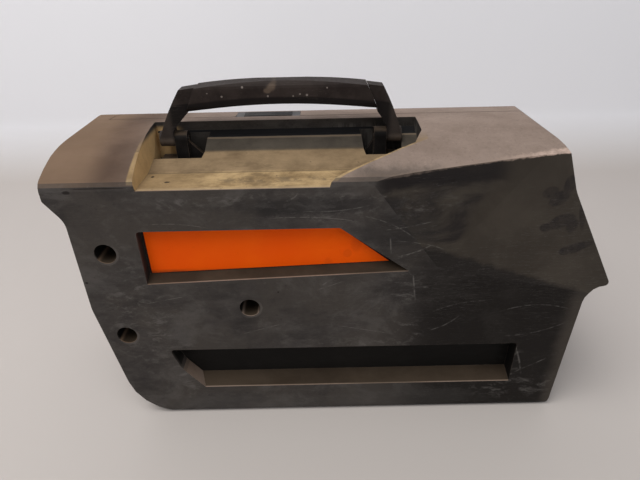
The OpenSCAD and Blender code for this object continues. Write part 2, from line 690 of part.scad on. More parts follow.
module control_board() color([0.05, 0.25, 0.12]) on_slope() difference() {
    union() {
        box([board_x - 1.6, 8 - panel_w / 2, 8 - panel_h / 2], [board_x, panel_w / 2 - 8, panel_h / 2 - 8]);
        for (y = [-1, 1]) for (v = [-1, 1]) // standoffs to the panel
            rod_x(y * (panel_w / 2 - 11), v * (panel_h / 2 - 11), board_x - eps, -panel_t, 3);
        for (i = [-1, 0, 1]) // switches under the buttons
            rod_x(i * button_pitch, button_v, board_x - eps, -panel_t - 2.2 - button_travel - 0.4, 3);
    }
    for (s = [-1, 1]) rod_x(s * knob_y, knob_v, board_x - 3, board_x + 1, 4);
}

module encoders() color([0.6, 0.6, 0.6]) on_slope() for (s = [-1, 1]) difference() {
    union() {
        box([board_x, s * knob_y - 6.5, knob_v - 6.5], [-panel_t - 4.5, s * knob_y + 6.5, knob_v + 6.5]);
        rod_x(s * knob_y, knob_v, -panel_t - 4.6, -panel_t, 5);
    }
    rod_x(s * knob_y, knob_v, -10.3, 1, shaft_r + run_fit);
}

// ---- Connectors ----------------------------------------------------------------

front_in_x = front_wall_x - 1.5 - wall; // flat seat behind the front wall
gun_r = 15;
gun_bore_r = 5.1;
socket_y = -35;
socket_z = 85;

module connector_plate() color([0.13, 0.13, 0.14]) difference() {
    box([front_in_x - 6, plate_hole[0].x + 1, plate_hole[0].y + 1],
        [front_in_x + 3, plate_hole[1].x - 1, plate_hole[1].y - 1]);
    rod_x(gun_y, wire_z, front_in_x - 10, front_in_x + 9, gun_r + 5);
    rod_x(socket_y, socket_z, front_in_x - 10, front_in_x + 9, 12);
    for (y = [-64, 5]) for (z = [40, 108]) rod_x(y, z, front_in_x + 1, front_in_x + 9, 3.5);
}

module connector_bush() color([0.10, 0.10, 0.10]) difference() {
    union() {
        rod_x(gun_y, wire_z, front_in_x - 10, front_in_x + 8, gun_r + 5 - seat_fit);
        rod_x(gun_y, wire_z, front_in_x + 3, front_in_x + 8, gun_r + 9);
    }
    rod_x(gun_y, wire_z, front_in_x - 11, front_in_x + 9, gun_r + seat_fit);
}

// Central gun connector: brass body with the gun bore, two contact holes and the wire bore
module gun_connector() color([0.72, 0.58, 0.30]) difference() {
    union() {
        rod_x(gun_y, wire_z, front_in_x - 30, x_f - 4, gun_r);
        rod_x(gun_y, wire_z, front_in_x - 18, front_in_x - 10, gun_r + 3);
        rod_x(gun_y, wire_z, x_f - 11, x_f - 6, gun_r + 1.5);
        rod_y(hose_x[1], wire_z, gun_y - gun_r - barb_len, gun_y - gun_r + 2, barb_r);
    }
    rod_x(gun_y, wire_z, front_in_x - 12, x_f, gun_bore_r);
    rod_x(gun_y, wire_z, front_in_x - 31, x_f, 3);
    for (s = [-1, 1]) rod_x(gun_y + s * 9, wire_z, x_f - 24, x_f, 2.2);
}

module remote_socket() color([0.55, 0.55, 0.56]) difference() {
    union() {
        rod_x(socket_y, socket_z, front_in_x - 16, front_in_x + 12, 12 - seat_fit);
        rod_x(socket_y, socket_z, front_in_x + 3, front_in_x + 6, 15);
    }
    rod_x(socket_y, socket_z, front_in_x + 3, front_in_x + 13, 9.5);
}

rear_in_x = rear_wall_x + wall;
rear_cz = (rear_hole[0].y + rear_hole[1].y) / 2;
current_y = -48;
control_y = -8;
gas_y = 44;

module rear_plate() color([0.13, 0.13, 0.14]) difference() {
    union() {
        box([rear_in_x, rear_hole[0].x - 5, rear_hole[0].y - 5], [rear_in_x + 3, rear_hole[1].x + 5, rear_hole[1].y + 5]);
        box([rear_wall_x + 1, rear_hole[0].x + 0.5, rear_hole[0].y + 0.5],
            [rear_in_x + eps, rear_hole[1].x - 0.5, rear_hole[1].y - 0.5]);
    }
    rod_x(current_y, rear_cz, x_r, rear_in_x + 9, 15);
    rod_x(control_y, rear_cz, x_r, rear_in_x + 9, 11);
    rod_x(gas_y, rear_cz, x_r, rear_in_x + 9, 6);
}

module current_connector() color([0.12, 0.12, 0.12]) difference() {
    union() {
        rod_x(current_y, rear_cz, x_r + 4, rear_in_x + 14, 15 - seat_fit);
        rod_x(current_y, rear_cz, rear_wall_x - 2, rear_wall_x + 1, 19);
    }
    rod_x(current_y, rear_cz, x_r + 3, x_r + 26, 8.5);
}

module control_socket() color([0.55, 0.55, 0.56]) difference() {
    union() {
        rod_x(control_y, rear_cz, x_r + 6, rear_in_x + 10, 11 - seat_fit);
        rod_x(control_y, rear_cz, rear_wall_x - 2, rear_wall_x + 1, 14);
    }
    rod_x(control_y, rear_cz, x_r + 5, x_r + 16, 9);
}

module gas_inlet() color([0.72, 0.58, 0.30]) difference() {
    union() {
        rod_x(gas_y, rear_cz, x_r + 2, rear_in_x + 5, 4.5);
        rod_x(gas_y, rear_cz, x_r + 7, x_r + 10, 5.6);
        rod_x(gas_y, rear_cz, rear_wall_x + 1, rear_in_x + 3, 6 - seat_fit);
        rod_x(gas_y, rear_cz, rear_wall_x - 3, rear_wall_x + 1, 10);
    }
    rod_x(gas_y, rear_cz, x_r, rear_in_x + 6, 2.5);
}

// ---- Wire drive ------------------------------------------------------------------

feed_t = 10;
feed_face = plate_face + feed_t;
gear_w = 9;
gear_y = feed_face + 1.5;
roll_w = 12;
roll_y = gun_y - roll_w / 2;
sleeve_r = 8;
axle_pin_r = 4;
cap_r = 11;
arm_t = 10;
arm_y = feed_face + 1.5;
arm_pivot = [drive_x - 55, drive_x + 55];
arm_pivot_z = press_z + 7;
arm_pin_r = 3;
tip_z = [press_z + 2.5, press_z + 12.5];
lever_y = arm_y + arm_t / 2;
lever_z = wire_z - 1;
lever_r = 2.5;
tooth_out = 0.85 * gear_m; // reach of a tooth past the pitch circle
post_z = pinion_z + pinion_r + tooth_out + 0.7; // post of the middle guide, over the pinion
arm_low = roll_z + gear_r + tooth_out + 1; // lower side of the pressure arms, over the gears

// A gear with straight-sided teeth; the first tooth stands at angle a
module gear_outline(teeth, a) {
    r = gear_m * teeth / 2;
    step = 360 / teeth;
    polygon([for (i = [0:teeth - 1]) for (q = [[-0.33, -1.2 * gear_m], [-0.12, tooth_out],
            [0.12, tooth_out], [0.33, -1.2 * gear_m]])
        (r + q[1]) * [cos(a + step * (i + q[0])), sin(a + step * (i + q[0]))]]);
}

// Direction from the pinion to the rear gear, and the phases that put the teeth in mesh
mesh_a = atan2(roll_z - pinion_z, -roll_pitch / 2);
pinion_phase = mesh_a;
rear_phase = mesh_a + 180 + 180 / gear_teeth;
front_a = 180 - mesh_a;
pinion_step = 360 / pinion_teeth;
tooth_off = (pinion_phase - front_a) - pinion_step * round((pinion_phase - front_a) / pinion_step);
front_phase = front_a + 180 - tooth_off * pinion_teeth / gear_teeth + 180 / gear_teeth;

module feed_plate() color([0.62, 0.63, 0.64]) difference() {
    union() {
        box([drive_x - 75, plate_face, wire_z - 50], [drive_x + 75, feed_face, tip_z[1] - 1]);
        // lobes and bosses of the arm pivots
        for (x = arm_pivot) {
            rod_y(x, arm_pivot_z, plate_face, feed_face, 14);
            rod_y(x, arm_pivot_z, feed_face - eps, arm_y - face_gap, 8);
        }
        // ears of the tension lever
        for (s = [-1, 1]) box([drive_x + s * 5 - 1.5, feed_face - eps, lever_z - 5],
            [drive_x + s * 5 + 1.5, lever_y + 4, lever_z + 5]);
        // wire guide posts
        for (x = [drive_x - 70, drive_x + 62]) box([x, feed_face - eps, wire_z - 8], [x + 8, gun_y + 7, wire_z + 8]);
        box([drive_x - 3, feed_face - eps, post_z], [drive_x + 3, gun_y - 2, post_z + 3.4]);
        box([drive_x - 3, gun_y - 6, post_z], [drive_x + 3, gun_y + 4, wire_z - 1]);
    }
    rod_y(drive_x, pinion_z, plate_face - 1, feed_face + 1, 6);
    for (x = roll_x) rod_y(x, roll_z, plate_face - 1, feed_face + 1, axle_pin_r);
    for (x = arm_pivot) rod_y(x, arm_pivot_z, plate_face - 1, arm_y, arm_pin_r);
    rod_x(lever_y, lever_z, drive_x - 8, drive_x + 8, 2);
    rod_x(gun_y, wire_z, drive_x - 76, drive_x - 50, 4);
    rod_x(gun_y, wire_z, drive_x + 50, drive_x + 76, 4);
    rod_x(gun_y, wire_z, drive_x - 5, drive_x + 5, 2.5);
}

module roll_axles() color("silver") for (x = roll_x)
    rod_y(x, roll_z, plate_face, roll_y + roll_w + 1, axle_pin_r);

module feed_motor() color([0.20, 0.20, 0.21]) difference() {
    union() {
        rod_y(drive_x, pinion_z, plate_y - 22 - motor_len, plate_y - 22, motor_r);
        rod_y(drive_x, pinion_z, plate_y - 26 - motor_len, plate_y - 22, 9);
        for (z = [-1, 1]) rod_y(drive_x + z * 16, pinion_z, plate_y - 25 - motor_len, plate_y - 22, 4);
    }
}

module gearbox() color([0.58, 0.59, 0.60]) difference() {
    union() {
        rod_y(drive_x, pinion_z, plate_y - 22, plate_y, motor_r + 3);
        rod_y(drive_x, pinion_z, plate_y - eps, plate_face, 13);
    }
    rod_y(drive_x, pinion_z, plate_y - 14, plate_face + 1, shaft_pinion_r + run_fit);
}

shaft_pinion_r = 4;
module motor_pinion() color("silver") {
    along_y(gear_y, gear_y + gear_w) translate([drive_x, pinion_z]) gear_outline(pinion_teeth, pinion_phase);
    rod_y(drive_x, pinion_z, plate_y - 13.5, gear_y + gear_w + 2, shaft_pinion_r);
}

module drive_gear(i, a) difference() {
    union() {
        along_y(gear_y, gear_y + gear_w) translate([roll_x[i], roll_z]) gear_outline(gear_teeth, a);
        rod_y(roll_x[i], roll_z, feed_face + face_gap, roll_y + roll_w - 1, sleeve_r);
    }
    rod_y(roll_x[i], roll_z, feed_face - 1, roll_y + roll_w + 1, axle_pin_r + run_fit);
    for (k = [0:5]) rod_y(roll_x[i] + 12.5 * cos(60 * k), roll_z + 12.5 * sin(60 * k), gear_y - 1, gear_y + gear_w + 1, 2.5);
}
module drive_gear_rear() color([0.85, 0.84, 0.78]) drive_gear(0, rear_phase);
module drive_gear_front() color([0.85, 0.84, 0.78]) drive_gear(1, front_phase);

// Feed roll with two wire grooves
module feed_roll(i) translate([roll_x[i], roll_y + roll_w, roll_z]) rotate([90, 0, 0]) rotate_extrude()
    polygon([[sleeve_r + seat_fit, 0], [roll_r - 0.5, 0], [roll_r, 0.5], [roll_r, roll_w / 2 - 1], [roll_r - 0.9, roll_w / 2],
        [roll_r, roll_w / 2 + 1], [roll_r, roll_w - 3.5], [roll_r - 0.9, roll_w - 2.5],
        [roll_r, roll_w - 1.5], [roll_r - 0.5, roll_w], [sleeve_r + seat_fit, roll_w]]);
module feed_roll_rear() color([0.70, 0.71, 0.72]) feed_roll(0);
module feed_roll_front() color([0.70, 0.71, 0.72]) feed_roll(1);

module roll_cap(i) difference() {
    rod_y(roll_x[i], roll_z, roll_y + roll_w, roll_y + roll_w + 10, cap_r);
    rod_y(roll_x[i], roll_z, roll_y + roll_w - 1, roll_y + roll_w + 1.3, axle_pin_r + 1);
    for (k = [0:7]) rod_y(roll_x[i] + (cap_r + 1) * cos(45 * k), roll_z + (cap_r + 1) * sin(45 * k),
        roll_y + roll_w + 3, roll_y + roll_w + 11, 2.5);
}
module roll_cap_rear() color([0.80, 0.12, 0.10]) roll_cap(0);
module roll_cap_front() color([0.80, 0.12, 0.10]) roll_cap(1);

module arm_pins() color("silver") {
    for (x = arm_pivot) {
        rod_y(x, arm_pivot_z, plate_face, arm_y + arm_t + face_gap, arm_pin_r);
        rod_y(x, arm_pivot_z, arm_y + arm_t + face_gap, arm_y + arm_t + 2, arm_pin_r + 2);
    }
}

// Pressure arm on its pivot, with the stub that carries its roll; s is +1 for the rear arm
module pressure_arm(i, s) difference() {
    union() {
        along_y(arm_y, arm_y + arm_t) difference() {
            union() {
                translate([arm_pivot[i], arm_pivot_z]) circle(9);
                translate([roll_x[i], press_z]) circle(10);
                polygon([[arm_pivot[i], arm_pivot_z + 9], [arm_pivot[i], arm_pivot_z - 9], [roll_x[i], press_z - 9.5],
                    [drive_x - s * 8, tip_z[0]], [drive_x - s * 0.5, tip_z[0]], [drive_x - s * 0.5, tip_z[1]],
                    [roll_x[i], tip_z[1] + 3]]);
            }
            translate([drive_x - far / 2, arm_low - far]) square(far);
        }
        rod_y(roll_x[i], press_z, arm_y + arm_t - eps, roll_y + roll_w + 3, 5);
    }
    rod_y(arm_pivot[i], arm_pivot_z, arm_y - 1, arm_y + arm_t + 1, arm_pin_r + run_fit);
    box([drive_x - 3.5, lever_y - 3.5, tip_z[0] - 1], [drive_x + 3.5, arm_y + arm_t + 1, tip_z[1] + 1]);
}
module pressure_arm_rear() color([0.14, 0.14, 0.15]) pressure_arm(0, 1);
module pressure_arm_front() color([0.14, 0.14, 0.15]) pressure_arm(1, -1);

module pressure_roll(i) ring_y(roll_x[i], press_z, roll_y, roll_y + roll_w, roll_r, 5 + run_fit);
module pressure_roll_rear() color([0.70, 0.71, 0.72]) pressure_roll(0);
module pressure_roll_front() color([0.70, 0.71, 0.72]) pressure_roll(1);

// Tension lever, drawn upright and tilted outwards about its pin
module on_lever() translate([drive_x, lever_y, lever_z]) rotate([-lever_tilt, 0, 0]) children();

spring_z = tip_z[1] - lever_z + 4; // the spring seat passes over the arm tips as the lever swings
module tension_lever() color("silver") on_lever() {
    translate([0, 0, 2]) cylinder(r = lever_r, h = spring_z + 31);
    difference() {
        rod_x(0, 0, -3.2, 3.2, 4);
        rod_x(0, 0, -4, 4, 2 + run_fit);
    }
    translate([0, 0, spring_z - 2]) cylinder(r = 6.5, h = 2);
}

module tension_knob() color([0.80, 0.12, 0.10]) on_lever() difference() {
    union() {
        translate([0, 0, spring_z + 0.1]) cylinder(r = 8, h = 16);
        translate([0, 0, spring_z + 16]) cylinder(r = 10, h = 22);
    }
    translate([0, 0, spring_z - 1]) cylinder(r = lever_r, h = 35.1);
    for (k = [0:5]) translate([11 * cos(60 * k), 11 * sin(60 * k), spring_z + 18]) cylinder(r = 3, h = 22);
}

module wire_guides() color([0.86, 0.85, 0.80]) {
    ring_x(gun_y, wire_z, drive_x - 78, drive_x - 62, 4 - seat_fit, 1.6);
    ring_x(gun_y, wire_z, drive_x - 61.9, drive_x - 46, 3, 1.6);
    ring_x(gun_y, wire_z, drive_x - 14, drive_x + 14, 2.5 - seat_fit, 1.2);
    ring_x(gun_y, wire_z, drive_x + 46, drive_x + 62, 3, 1.4);
    ring_x(gun_y, wire_z, drive_x + 62, front_in_x - 12, 3 - seat_fit, 1.4);
}

// ---- Spool holder -----------------------------------------------------------------

hub_y0 = plate_face + 12;
flange_t = 4;
hub_y1 = hub_y0 + flange_t + spool_w + 2;
pocket_y = hub_y1 - 15; // inner end of the hub's front pocket
claw_w = 12;
claw_t = 5;
claw_y = hub_y1 - 8;
claw_in = hub_r - 4 - claw_travel; // inner end of a claw, 4 mm of which stays in the hub when it is out

module hub_axle() color("silver") {
    rod_y(spool_x, spool_z, plate_y, pocket_y + 5, axle_r);
    rod_y(spool_x, spool_z, plate_face, plate_face + 4, 24);
    rod_y(spool_x, spool_z, plate_face + 4 - eps, hub_y0 - face_gap, 12);
}

module spool_hub() color([0.13, 0.13, 0.13]) difference() {
    union() {
        rod_y(spool_x, spool_z, hub_y0, hub_y1, hub_r);
        rod_y(spool_x, spool_z, hub_y0, hub_y0 + flange_t, hub_r + 12);
        // driving peg that enters the spool's side hole
        rod_y(spool_x + hub_r + 7, spool_z, hub_y0 + flange_t - eps, hub_y0 + flange_t + 6, 2.5);
    }
    rod_y(spool_x, spool_z, hub_y0 - 1, hub_y1, axle_r + run_fit);
    rod_y(spool_x, spool_z, pocket_y, hub_y1 + 1, hub_r - 5);
    for (s = [-1, 1]) box([spool_x - claw_w / 2 - 0.2, claw_y - 0.2, spool_z + (s > 0 ? 8 : -hub_r - 2)],
        [spool_x + claw_w / 2 + 0.2, claw_y + claw_t + 0.2, spool_z + (s > 0 ? hub_r + 2 : -8)]);
}

module brake_spring() color("silver") ring_y(spool_x, spool_z, pocket_y + 0.1, pocket_y + 1.6, 15, axle_r + 0.2);
module axle_nut() color("silver") difference() {
    translate([spool_x, pocket_y + 5.5, spool_z]) rotate([90, 0, 0]) cylinder(r = 13, h = 3.8, $fn = 6);
    rod_y(spool_x, spool_z, pocket_y + 1, pocket_y + 7, axle_r + seat_fit);
}

// Locking claw; s is +1 for the upper and -1 for the lower
module claw(s) box([spool_x - claw_w / 2, claw_y, spool_z + (s > 0 ? claw_in : -hub_r + 0.5)],
    [spool_x + claw_w / 2, claw_y + claw_t, spool_z + (s > 0 ? hub_r - 0.5 : -claw_in)]);
module claw_upper() color([0.80, 0.12, 0.10]) claw(1);
module claw_lower() color([0.80, 0.12, 0.10]) claw(-1);

module hub_lock_knob() color([0.80, 0.12, 0.10]) difference() {
    union() {
        rod_y(spool_x, spool_z, hub_y1 - 2.7, hub_y1 + 3, hub_r - 5 - run_fit);
        rod_y(spool_x, spool_z, hub_y1 + 0.3, hub_y1 + 3, hub_r - 2);
        box([spool_x - 18, hub_y1 + 3 - eps, spool_z - 3], [spool_x + 18, hub_y1 + 8, spool_z + 3]);
    }
}

// ---- Gas valve, gas hose and current bar ---------------------------------------------------

hose_r = 4;
hose_bend = 13;
hose_y = plate_y - 12;
hose_x = [rear_in_x + 15, x_f - 52];
barb_r = 2.5;
barb_len = 8;

// Valve block and coil on the end of the inlet, with a barb towards the near side
module gas_valve() color([0.60, 0.60, 0.58]) difference() {
    union() {
        rod_x(gas_y, rear_cz, rear_in_x + 5, rear_in_x + 8, 7);
        box([rear_in_x + 7.5, gas_y - 9, rear_cz - 9], [rear_in_x + 19, gas_y + 9, rear_cz + 9]);
        translate([rear_in_x + 13.3, gas_y, rear_cz + 9 - eps]) cylinder(r = 6, h = 24);
        rod_y(hose_x[0], rear_cz, gas_y - 9 - barb_len, gas_y - 8, barb_r);
    }
    rod_x(gas_y, rear_cz, rear_in_x + 4, rear_in_x + 12, 2.5);
    rod_y(hose_x[0], rear_cz, gas_y - 10 - barb_len, gas_y - 6, 1.4);
}

// Quarter bend of the hose about c, in the plane of the two directions a and b
module hose_bend_at(c, turn) translate(c) rotate(turn) rotate_extrude(angle = 90) translate([hose_bend, 0]) circle(hose_r);

// Hose from the valve along the near side of the chassis plate to the gun connector
module gas_hose() color([0.30, 0.06, 0.06]) difference() {
    union() {
        rod_y(hose_x[0], rear_cz, hose_y + hose_bend - eps, gas_y - 9 - face_gap, hose_r);
        hose_bend_at([hose_x[0] + hose_bend, hose_y + hose_bend, rear_cz], [0, 0, 180]);
        rod_x(hose_y, rear_cz, hose_x[0] + hose_bend - eps, hose_x[1] - hose_bend + eps, hose_r);
        hose_bend_at([hose_x[1] - hose_bend, hose_y, rear_cz - hose_bend], [90, 0, 0]);
        translate([hose_x[1], hose_y, wire_z + hose_bend - eps]) cylinder(r = hose_r, h = rear_cz - wire_z - 2 * (hose_bend - eps));
        hose_bend_at([hose_x[1], hose_y + hose_bend, wire_z + hose_bend], [0, 90, 180]);
        rod_y(hose_x[1], wire_z, hose_y + hose_bend - eps, gun_y - gun_r - face_gap, hose_r);
    }
    rod_y(hose_x[0], rear_cz, gas_y - 9 - barb_len - 1, gas_y, barb_r + run_fit);
    rod_y(hose_x[1], wire_z, gun_y - gun_r - barb_len - 1, gun_y, barb_r + run_fit);
}

bar_w = 12;
bar_t = 3;
bar_y = plate_y - 22;
bar_x = front_in_x - 18 - bar_t;
module current_bar() color([0.72, 0.43, 0.25]) difference() {
    union() {
        box([rear_in_x + 14, current_y - 9, rear_cz - bar_w / 2], [rear_in_x + 14 + bar_t, bar_y + bar_t, rear_cz + bar_w / 2]);
        box([rear_in_x + 14, bar_y, rear_cz - bar_w / 2], [bar_x + bar_t, bar_y + bar_t, rear_cz + bar_w / 2]);
        box([bar_x, bar_y, wire_z - bar_w / 2], [bar_x + bar_t, bar_y + bar_w, rear_cz + bar_w / 2]);
        box([bar_x, bar_y, wire_z - bar_w / 2], [bar_x + bar_t, gun_y, wire_z + bar_w / 2]);
        rod_x(gun_y, wire_z, bar_x, bar_x + bar_t, gun_r + 7);
    }
    rod_x(gun_y, wire_z, bar_x - 1, bar_x + bar_t + 1, gun_r + seat_fit);
}

side_shell();
rim_strip();
end_frame();
side_door();
door_catch();
catch_spring();
hinge_pin();
handle_bail();
handle_grip();
handle_pins();
handle_brackets();
label_plate();
case_screws();
chassis_plate();
control_panel();
display_windows();
knob_speed();
knob_voltage();
button_left();
button_middle();
button_right();
control_board();
encoders();
connector_plate();
gun_connector();
connector_bush();
remote_socket();
rear_plate();
current_connector();
control_socket();
gas_inlet();
feed_plate();
roll_axles();
feed_motor();
gearbox();
motor_pinion();
drive_gear_rear();
drive_gear_front();
feed_roll_rear();
feed_roll_front();
roll_cap_rear();
roll_cap_front();
arm_pins();
pressure_arm_rear();
pressure_arm_front();
pressure_roll_rear();
pressure_roll_front();
tension_lever();
tension_knob();
wire_guides();
hub_axle();
spool_hub();
brake_spring();
axle_nut();
hub_lock_knob();
claw_upper();
claw_lower();
gas_valve();
gas_hose();
current_bar();
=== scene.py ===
import math

import bmesh
import bpy
from mathutils import Matrix, Vector


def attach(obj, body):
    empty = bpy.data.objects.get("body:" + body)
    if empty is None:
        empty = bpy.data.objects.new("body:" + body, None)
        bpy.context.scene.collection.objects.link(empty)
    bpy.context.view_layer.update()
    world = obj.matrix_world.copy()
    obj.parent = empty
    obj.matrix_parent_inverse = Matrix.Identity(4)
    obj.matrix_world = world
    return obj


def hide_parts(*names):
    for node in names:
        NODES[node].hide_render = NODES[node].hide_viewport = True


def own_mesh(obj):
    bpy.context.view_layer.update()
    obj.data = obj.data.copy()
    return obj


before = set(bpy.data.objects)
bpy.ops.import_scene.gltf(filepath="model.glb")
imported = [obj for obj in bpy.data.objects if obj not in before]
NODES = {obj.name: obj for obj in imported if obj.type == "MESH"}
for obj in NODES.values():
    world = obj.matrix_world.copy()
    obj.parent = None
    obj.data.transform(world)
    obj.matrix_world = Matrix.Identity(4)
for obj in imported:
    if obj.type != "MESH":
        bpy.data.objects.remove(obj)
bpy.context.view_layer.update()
MM = 0.001

# ---- Camera, light and floor -------------------------------------------------

CAMERA_PLACE = (-0.0193, -0.4786, 0.4358)
CAMERA_PITCH = 30.0  # degrees below the horizon
CAMERA_ROLL = -1.2
LENS = 27.56  # mm on a 36 mm sensor
FLOOR, WALL = (0.56, 0.515, 0.485), (0.96, 0.96, 1.0)
STAGE_SIDE, STAGE_BEND, STAGE_END, STAGE_TOP = 2.5, 0.55, 3.0, 2.6  # half-width, and Y and Z of its lines
BEND_R = 0.12
SUNK = 0.0002  # the floor lies this much under the object
LIT, SEEN = (0.95, 0.97, 1.0), (0.72, 0.73, 0.75)  # background that lights the object, and that is seen


def make_camera():
    data = bpy.data.cameras.new("camera")
    data.lens = LENS
    data.sensor_width = 36.0
    data.clip_start = 0.01
    camera = bpy.data.objects.new("camera", data)
    bpy.context.scene.collection.objects.link(camera)
    tilt = Matrix.Rotation(math.radians(90 - CAMERA_PITCH), 4, "X")
    roll = Matrix.Rotation(math.radians(CAMERA_ROLL), 4, "Z")
    camera.matrix_world = Matrix.Translation(CAMERA_PLACE) @ tilt @ roll
    bpy.context.scene.camera = camera


def make_light(name, place, aim, size, power, colour):
    data = bpy.data.lights.new(name, "AREA")
    data.shape = "RECTANGLE"
    data.size, data.size_y = size
    data.energy = power
    data.color = colour
    lamp = bpy.data.objects.new(name, data)
    bpy.context.scene.collection.objects.link(lamp)
    lamp.location = place
    lamp.rotation_euler = (Vector(aim) - Vector(place)).to_track_quat("-Z", "Y").to_euler()


def join_all(tree, *pairs):
    for source, target in pairs:
        tree.links.new(source, target)


def make_stage():
    """A floor that bends up into a wall, which can't be seen from behind, where it would hide the object."""
    paper = bpy.data.materials.new("floor_paper")
    paper.use_nodes = True
    tree = paper.node_tree
    shader = tree.nodes["Principled BSDF"]
    shader.inputs["Roughness"].default_value = 0.8
    place, parts, rise, shade, behind, clear, through = (tree.nodes.new("ShaderNode" + kind) for kind in (
        "TexCoord", "SeparateXYZ", "MapRange", "Mix", "NewGeometry", "BsdfTransparent", "MixShader"))
    shade.data_type = "RGBA"
    rise.inputs["From Max"].default_value = 0.10
    shade.inputs[6].default_value = (*FLOOR, 1)
    shade.inputs[7].default_value = (*WALL, 1)
    join_all(tree,
             (place.outputs["Object"], parts.inputs[0]),
             (parts.outputs["Z"], rise.inputs["Value"]),
             (rise.outputs["Result"], shade.inputs["Factor"]),
             (shade.outputs[2], shader.inputs["Base Color"]),
             (behind.outputs["Backfacing"], through.inputs[0]),
             (shader.outputs[0], through.inputs[1]),
             (clear.outputs[0], through.inputs[2]),
             (through.outputs[0], tree.nodes["Material Output"].inputs["Surface"]))
    turns = [math.radians(9 * i) for i in range(11)]
    bend = [(STAGE_BEND + BEND_R * math.sin(a), BEND_R - BEND_R * math.cos(a)) for a in turns]
    line = [(-STAGE_SIDE, 0.0)] + bend + [(STAGE_BEND + BEND_R, STAGE_TOP)]
    mesh = bpy.data.meshes.new("floor")
    bm = bmesh.new()
    for points in (line, [(STAGE_BEND, 0.0), (STAGE_END, 0.0)]):
        left, right = ([bm.verts.new((x, y, z - SUNK)) for y, z in points]
                       for x in (-STAGE_SIDE, STAGE_SIDE))
        for i in range(len(points) - 1):
            bm.faces.new((left[i], right[i], right[i + 1], left[i + 1])).smooth = True
    bm.to_mesh(mesh)
    bm.free()
    floor = bpy.data.objects.new("floor", mesh)
    bpy.context.scene.collection.objects.link(floor)
    mesh.materials.append(paper)


def make_world():
    """A grey light from all sides; the eye, metal and glass see a paler background."""
    world = bpy.data.worlds.new("world")
    world.use_nodes = True
    tree = world.node_tree
    lit = tree.nodes["Background"]
    lit.inputs["Color"].default_value = (*LIT, 1)
    lit.inputs["Strength"].default_value = 0.26
    seen, path, pick, two, three = (tree.nodes.new("ShaderNode" + kind) for kind in (
        "Background", "LightPath", "MixShader", "Math", "Math"))
    seen.inputs["Color"].default_value = (*SEEN, 1)
    two.operation = three.operation = "MAXIMUM"
    join_all(tree,
             (path.outputs["Is Camera Ray"], two.inputs[0]),
             (path.outputs["Is Glossy Ray"], two.inputs[1]),
             (two.outputs[0], three.inputs[0]),
             (path.outputs["Is Transmission Ray"], three.inputs[1]),
             (three.outputs[0], pick.inputs[0]),
             (lit.outputs[0], pick.inputs[1]),
             (seen.outputs[0], pick.inputs[2]),
             (pick.outputs[0], tree.nodes["World Output"].inputs["Surface"]))
    bpy.context.scene.world = world
    bpy.context.scene.view_settings.view_transform = "Standard"

# ---- Node material helpers -----------------------------------------------------


